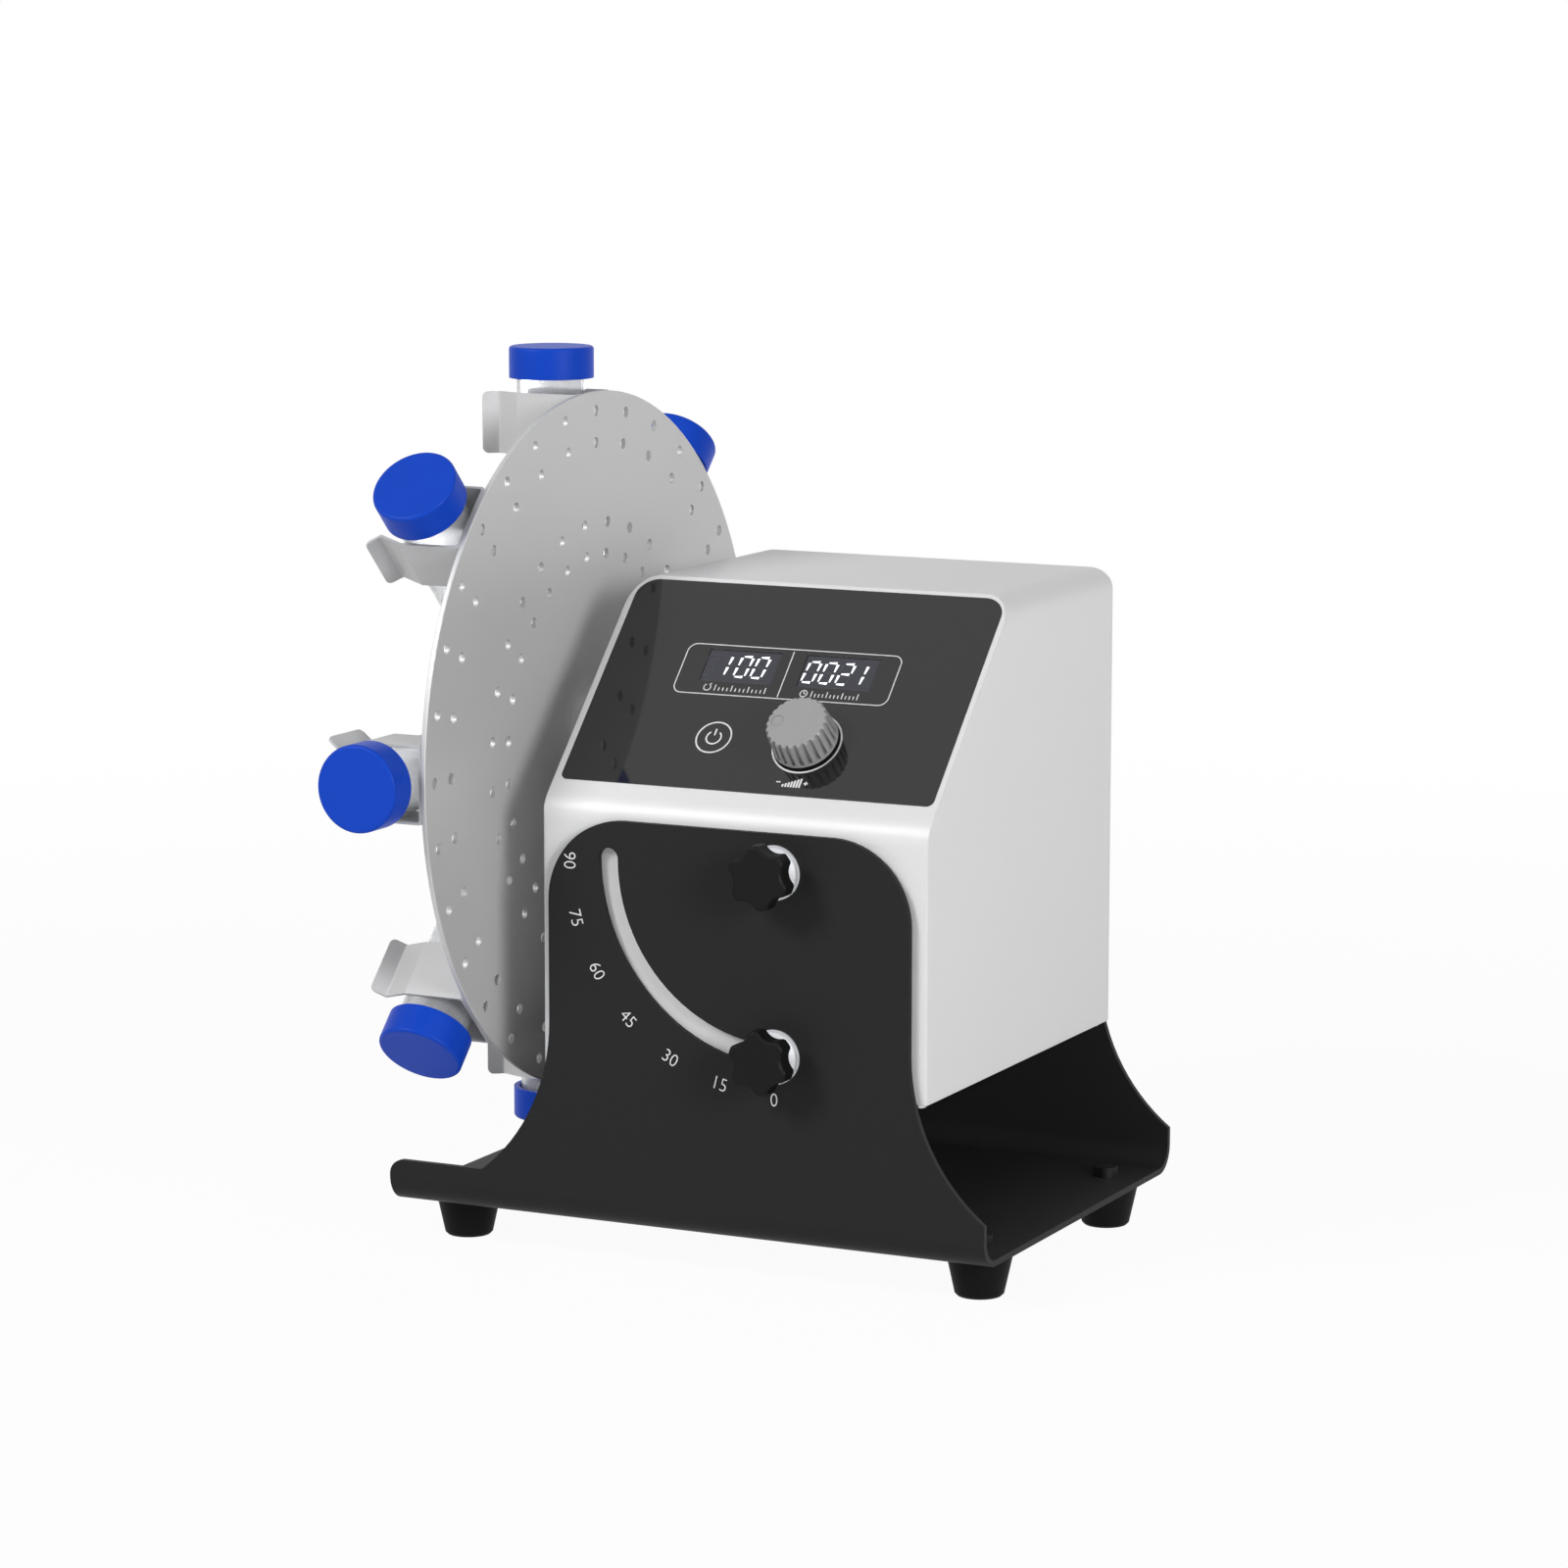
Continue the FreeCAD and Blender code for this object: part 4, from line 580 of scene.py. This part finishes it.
def segmentPlaces():
    side, half = readings["wide"] / 2, readings["tall"] / 2
    return {
        "a": (0, half, 0), "g": (0, 0, 0), "d": (0, -half, 0),
        "b": (side, half / 2, 90), "c": (side, -half / 2, 90),
        "f": (-side, half / 2, 90), "e": (-side, -half / 2, 90),
    }


def makeReading(name, settings):
    lit, dim = [], []
    text = settings["text"].rjust(readings["places"])
    for place, sign in enumerate(reversed(text)):
        shift = (readings["narrowShift"] if sign == "1" else 0) - place * readings["pitch"]
        for letter, (right, up, turn) in segmentPlaces().items():
            if sign == "1" and letter not in segmentsOf["1"]:
                continue
            room = readings["tall"] / 2 if turn else readings["wide"]
            length = room - readings["gap"] * 2
            segment = makeSegment(length, readings["line"], readings["thick"])
            segment.rotation_euler.z = math.radians(turn)
            segment.location = ((right + shift) * mm, up * mm, 0)
            fixTransform()
            (lit if letter in segmentsOf[sign] else dim).append(segment)
    lean = Matrix.Identity(4)
    lean[0][1] = math.tan(math.radians(readings["lean"]))
    for kind, group, ink in (("Lit", lit, litInk), ("Dim", dim, dimInk)):
        row = joined(group)
        row.data.transform(lean)
        place = onPanel(*settings["last"], readings["lift"])
        settle(row, name + kind, place, ink, "housing")


makeReading("speedReading", readings["speed"])
makeReading("timeReading", readings["time"])
print("readings made")

# millilitre scales printed on the tubes; long and short are arcs in degrees
tubeScale = {
    "barrel": 14.15, "lift": 0.03, "thick": 0.06, "line": 0.45, "marks": 8,
    "first": 27.3, "pitch": 9.49, "long": 46, "short": 26, "sides": 180,
    "firstNumber": 10, "step": 5, "height": 3.6, "aside": 9.4,
}


def wrapped(piece, radius):
    # a flat piece bent round an upright barrel, facing its front
    for vertex in piece.data.vertices:
        across, above, out = vertex.co
        swing = across / (radius * mm)
        reach = radius * mm + out
        vertex.co = (math.sin(swing) * reach, -math.cos(swing) * reach, above)


def makeTubeScale():
    barrel, lift, thick = tubeScale["barrel"], tubeScale["lift"], tubeScale["thick"]
    pieces = []
    for mark in range(tubeScale["marks"]):
        numbered = mark % 2 == 0
        level = (tubeScale["first"] + mark * tubeScale["pitch"]) * mm
        arc = tubeScale["long"] if numbered else tubeScale["short"]
        tick = inkRing(barrel + lift + thick / 2, thick, tubeScale["line"],
                       sides=tubeScale["sides"], gap=360 - arc)
        tick.location.z = level
        fixTransform()
        pieces.append(tick)
        if numbered:
            words = str(tubeScale["firstNumber"] + tubeScale["step"] * mark)
            number = flatText(words, tubeScale["height"], thick)
            number.data.transform(Matrix.Translation(
                (tubeScale["aside"] * mm, level, (thick / 2 + lift) * mm)))
            wrapped(number, barrel)
            pieces.append(number)
    return joined(pieces)


def makeTubeScales():
    pattern = makeTubeScale()
    for number in range(1, tubeCount + 1):
        joint = joints[f"cap_{number}_turn"]
        axis = Vector(joint["axis"])
        at = Vector(joint["pos_m"])
        tube = nodes[f"tube_{number}"].data
        tip = min(vertex.co.dot(axis) for vertex in tube.vertices)
        at += axis * (tip - at.dot(axis))
        only(pattern)
        bpy.ops.object.duplicate()
        settle(bpy.context.object, f"tubeScale{number}",
               placeOf(sideways.cross(axis), sideways, axis, at),
               greyInk, f"tube_body_{number}")
    bpy.data.objects.remove(pattern)


makeTubeScales()
print("tube scales made")

# signs on the two faces of the power rocker
rockerSigns = {"thick": 0.05, "bar": (0.6, 3.0), "ring": 1.5, "line": 0.5, "sides": 48}


def faceMean(faces, value):
    # of a value over the faces' area
    total = sum((value(face) * face.area for face in faces), value(faces[0]) * 0)
    return total / sum(face.area for face in faces)


def makeRockerSign(name, sign, faces):
    at = faceMean(faces, lambda face: face.center)
    out = faceMean(faces, lambda face: face.normal).normalized()
    place = placeOf(-sideways, sideways.cross(out), out, at)
    settle(sign, name, place, whiteInk, "rocker")


def makeRockerSigns():
    thick = rockerSigns["thick"]
    rearwards = 0.9  # how squarely a face of the rocker looks to the rear
    faces = [face for face in nodes["power_rocker"].data.polygons if face.normal.y > rearwards]
    level = faceMean(faces, lambda face: face.center.z)
    makeRockerSign("rockerSignOn", inkBar(*rockerSigns["bar"], thick),
                   [face for face in faces if face.center.z > level])
    ring = inkRing(rockerSigns["ring"], rockerSigns["line"], thick, sides=rockerSigns["sides"])
    makeRockerSign("rockerSignOff", ring,
                   [face for face in faces if face.center.z < level])


makeRockerSigns()
print("rocker signs made")

# floor, world, lamps and camera, in metres and watts; a soft lamp leaves no reflection
studio = {
    "camera": (0.8971, -1.8537, 0.5086), "azimuth": 25.842, "elevation": 8.987,
    "roll": 0.061, "lens": 119.03, "sensor": 36,
    "floor": 7.0, "floorColour": (0.93, 0.93, 0.93), "floorRoughness": 0.9,
    "floorGlow": 0.95, "fade": (0.35, 1.6), "ambient": 0.06,
    "aim": (-0.02, 0, 0.16),
    "lamps": [
        {"at": (2.3, -1.33, 0.95), "size": 1.0, "power": 39.5},
        {"at": (-1.3, -2.0, 1.8), "size": 1.0, "power": 43.0},
        {"at": (0.9, -0.5, 2.4), "size": 1.0, "power": 3.0},
        {"at": (-0.1, 2.4, 0.2), "size": 0.4, "power": 20.0, "soft": True},
        {"at": (-1.5, 1.9, 0.2), "size": 0.4, "power": 10.0, "soft": True},
    ],
}


def seenRays(web):
    # 1 for what the camera sees, itself or in metal, gloss and glass
    seen = web.add("ShaderNodeLightPath", output="Is Camera Ray")
    for name in ("Is Glossy Ray", "Is Transmission Ray"):
        other = web.add("ShaderNodeLightPath", output=name)
        seen = web.add("ShaderNodeMath", {"operation": "MAXIMUM"}, {0: seen, 1: other})
    return seen


def makeFloor():
    # paper that glows a little near the object and fully further off
    startPiece()
    bpy.ops.mesh.primitive_plane_add(size=studio["floor"])
    floor = bpy.context.object
    floor.name = "floor"
    paint = Paint(
        "floorPaper", studio["floorColour"], studio["floorRoughness"], Specular_IOR_Level=0.0)
    near, far = studio["fade"]
    away = paint.add(
        "ShaderNodeVectorMath", {"operation": "LENGTH"}, {0: paint.place()}, "Value")
    spread = paint.add("ShaderNodeMapRange", {"interpolation_type": "SMOOTHSTEP"}, {
        "Value": away, "From Min": near, "From Max": far,
        "To Min": studio["floorGlow"], "To Max": 1.0})
    glow = paint.add("ShaderNodeEmission", None, {"Color": white, "Strength": 1.0})
    plain = Wire(paint, paint.shader.outputs[0])
    blend = paint.add(
        "ShaderNodeMixShader", None, {0: seenRays(paint) * spread, 1: plain, 2: glow})
    paint.fill(paint.tree.nodes["Material Output"], "Surface", blend)
    floor.data.materials.append(paint.material)


def makeWorld():
    # dim light all round, but white where it is seen
    world = bpy.data.worlds.new("studio")
    bpy.context.scene.world = world
    world.use_nodes = True
    sky = Web(world.node_tree)
    background = sky.tree.nodes["Background"]
    sky.fill(background, "Color", white)
    sky.fill(background, "Strength", studio["ambient"])
    lit = Wire(sky, background.outputs[0])
    shown = sky.add("ShaderNodeBackground", None, {"Color": white, "Strength": 1.0})
    mix = sky.add("ShaderNodeMixShader", None, {0: seenRays(sky), 1: lit, 2: shown})
    sky.fill(sky.tree.nodes["World Output"], "Surface", mix)


def makeLamps():
    aim = Vector(studio["aim"])
    for number, lamp in enumerate(studio["lamps"], start=1):
        startPiece()
        bpy.ops.object.light_add(type="AREA", location=lamp["at"])
        light = bpy.context.object
        light.name = f"lamp{number}"
        light.data.shape = "DISK"
        light.data.size = lamp["size"]
        light.data.energy = lamp["power"]
        light.visible_glossy = not lamp.get("soft")
        light.rotation_euler = (aim - light.location).to_track_quat("-Z", "Y").to_euler()


def makeCamera():
    startPiece()
    bpy.ops.object.camera_add(location=studio["camera"])
    camera = bpy.context.object
    camera.data.lens = studio["lens"]
    camera.data.sensor_width = studio["sensor"]
    camera.data.sensor_fit = "HORIZONTAL"
    place = Matrix.Translation(studio["camera"])
    for angle, axis in ((studio["azimuth"], "Z"), (90 - studio["elevation"], "X"),
                        (studio["roll"], "Z")):
        place = place @ Matrix.Rotation(math.radians(angle), 4, axis)
    camera.matrix_world = place
    bpy.context.scene.camera = camera


makeFloor()
makeWorld()
makeLamps()
makeCamera()
bpy.context.scene.view_settings.view_transform = "Standard"
print("studio made")

startPiece()
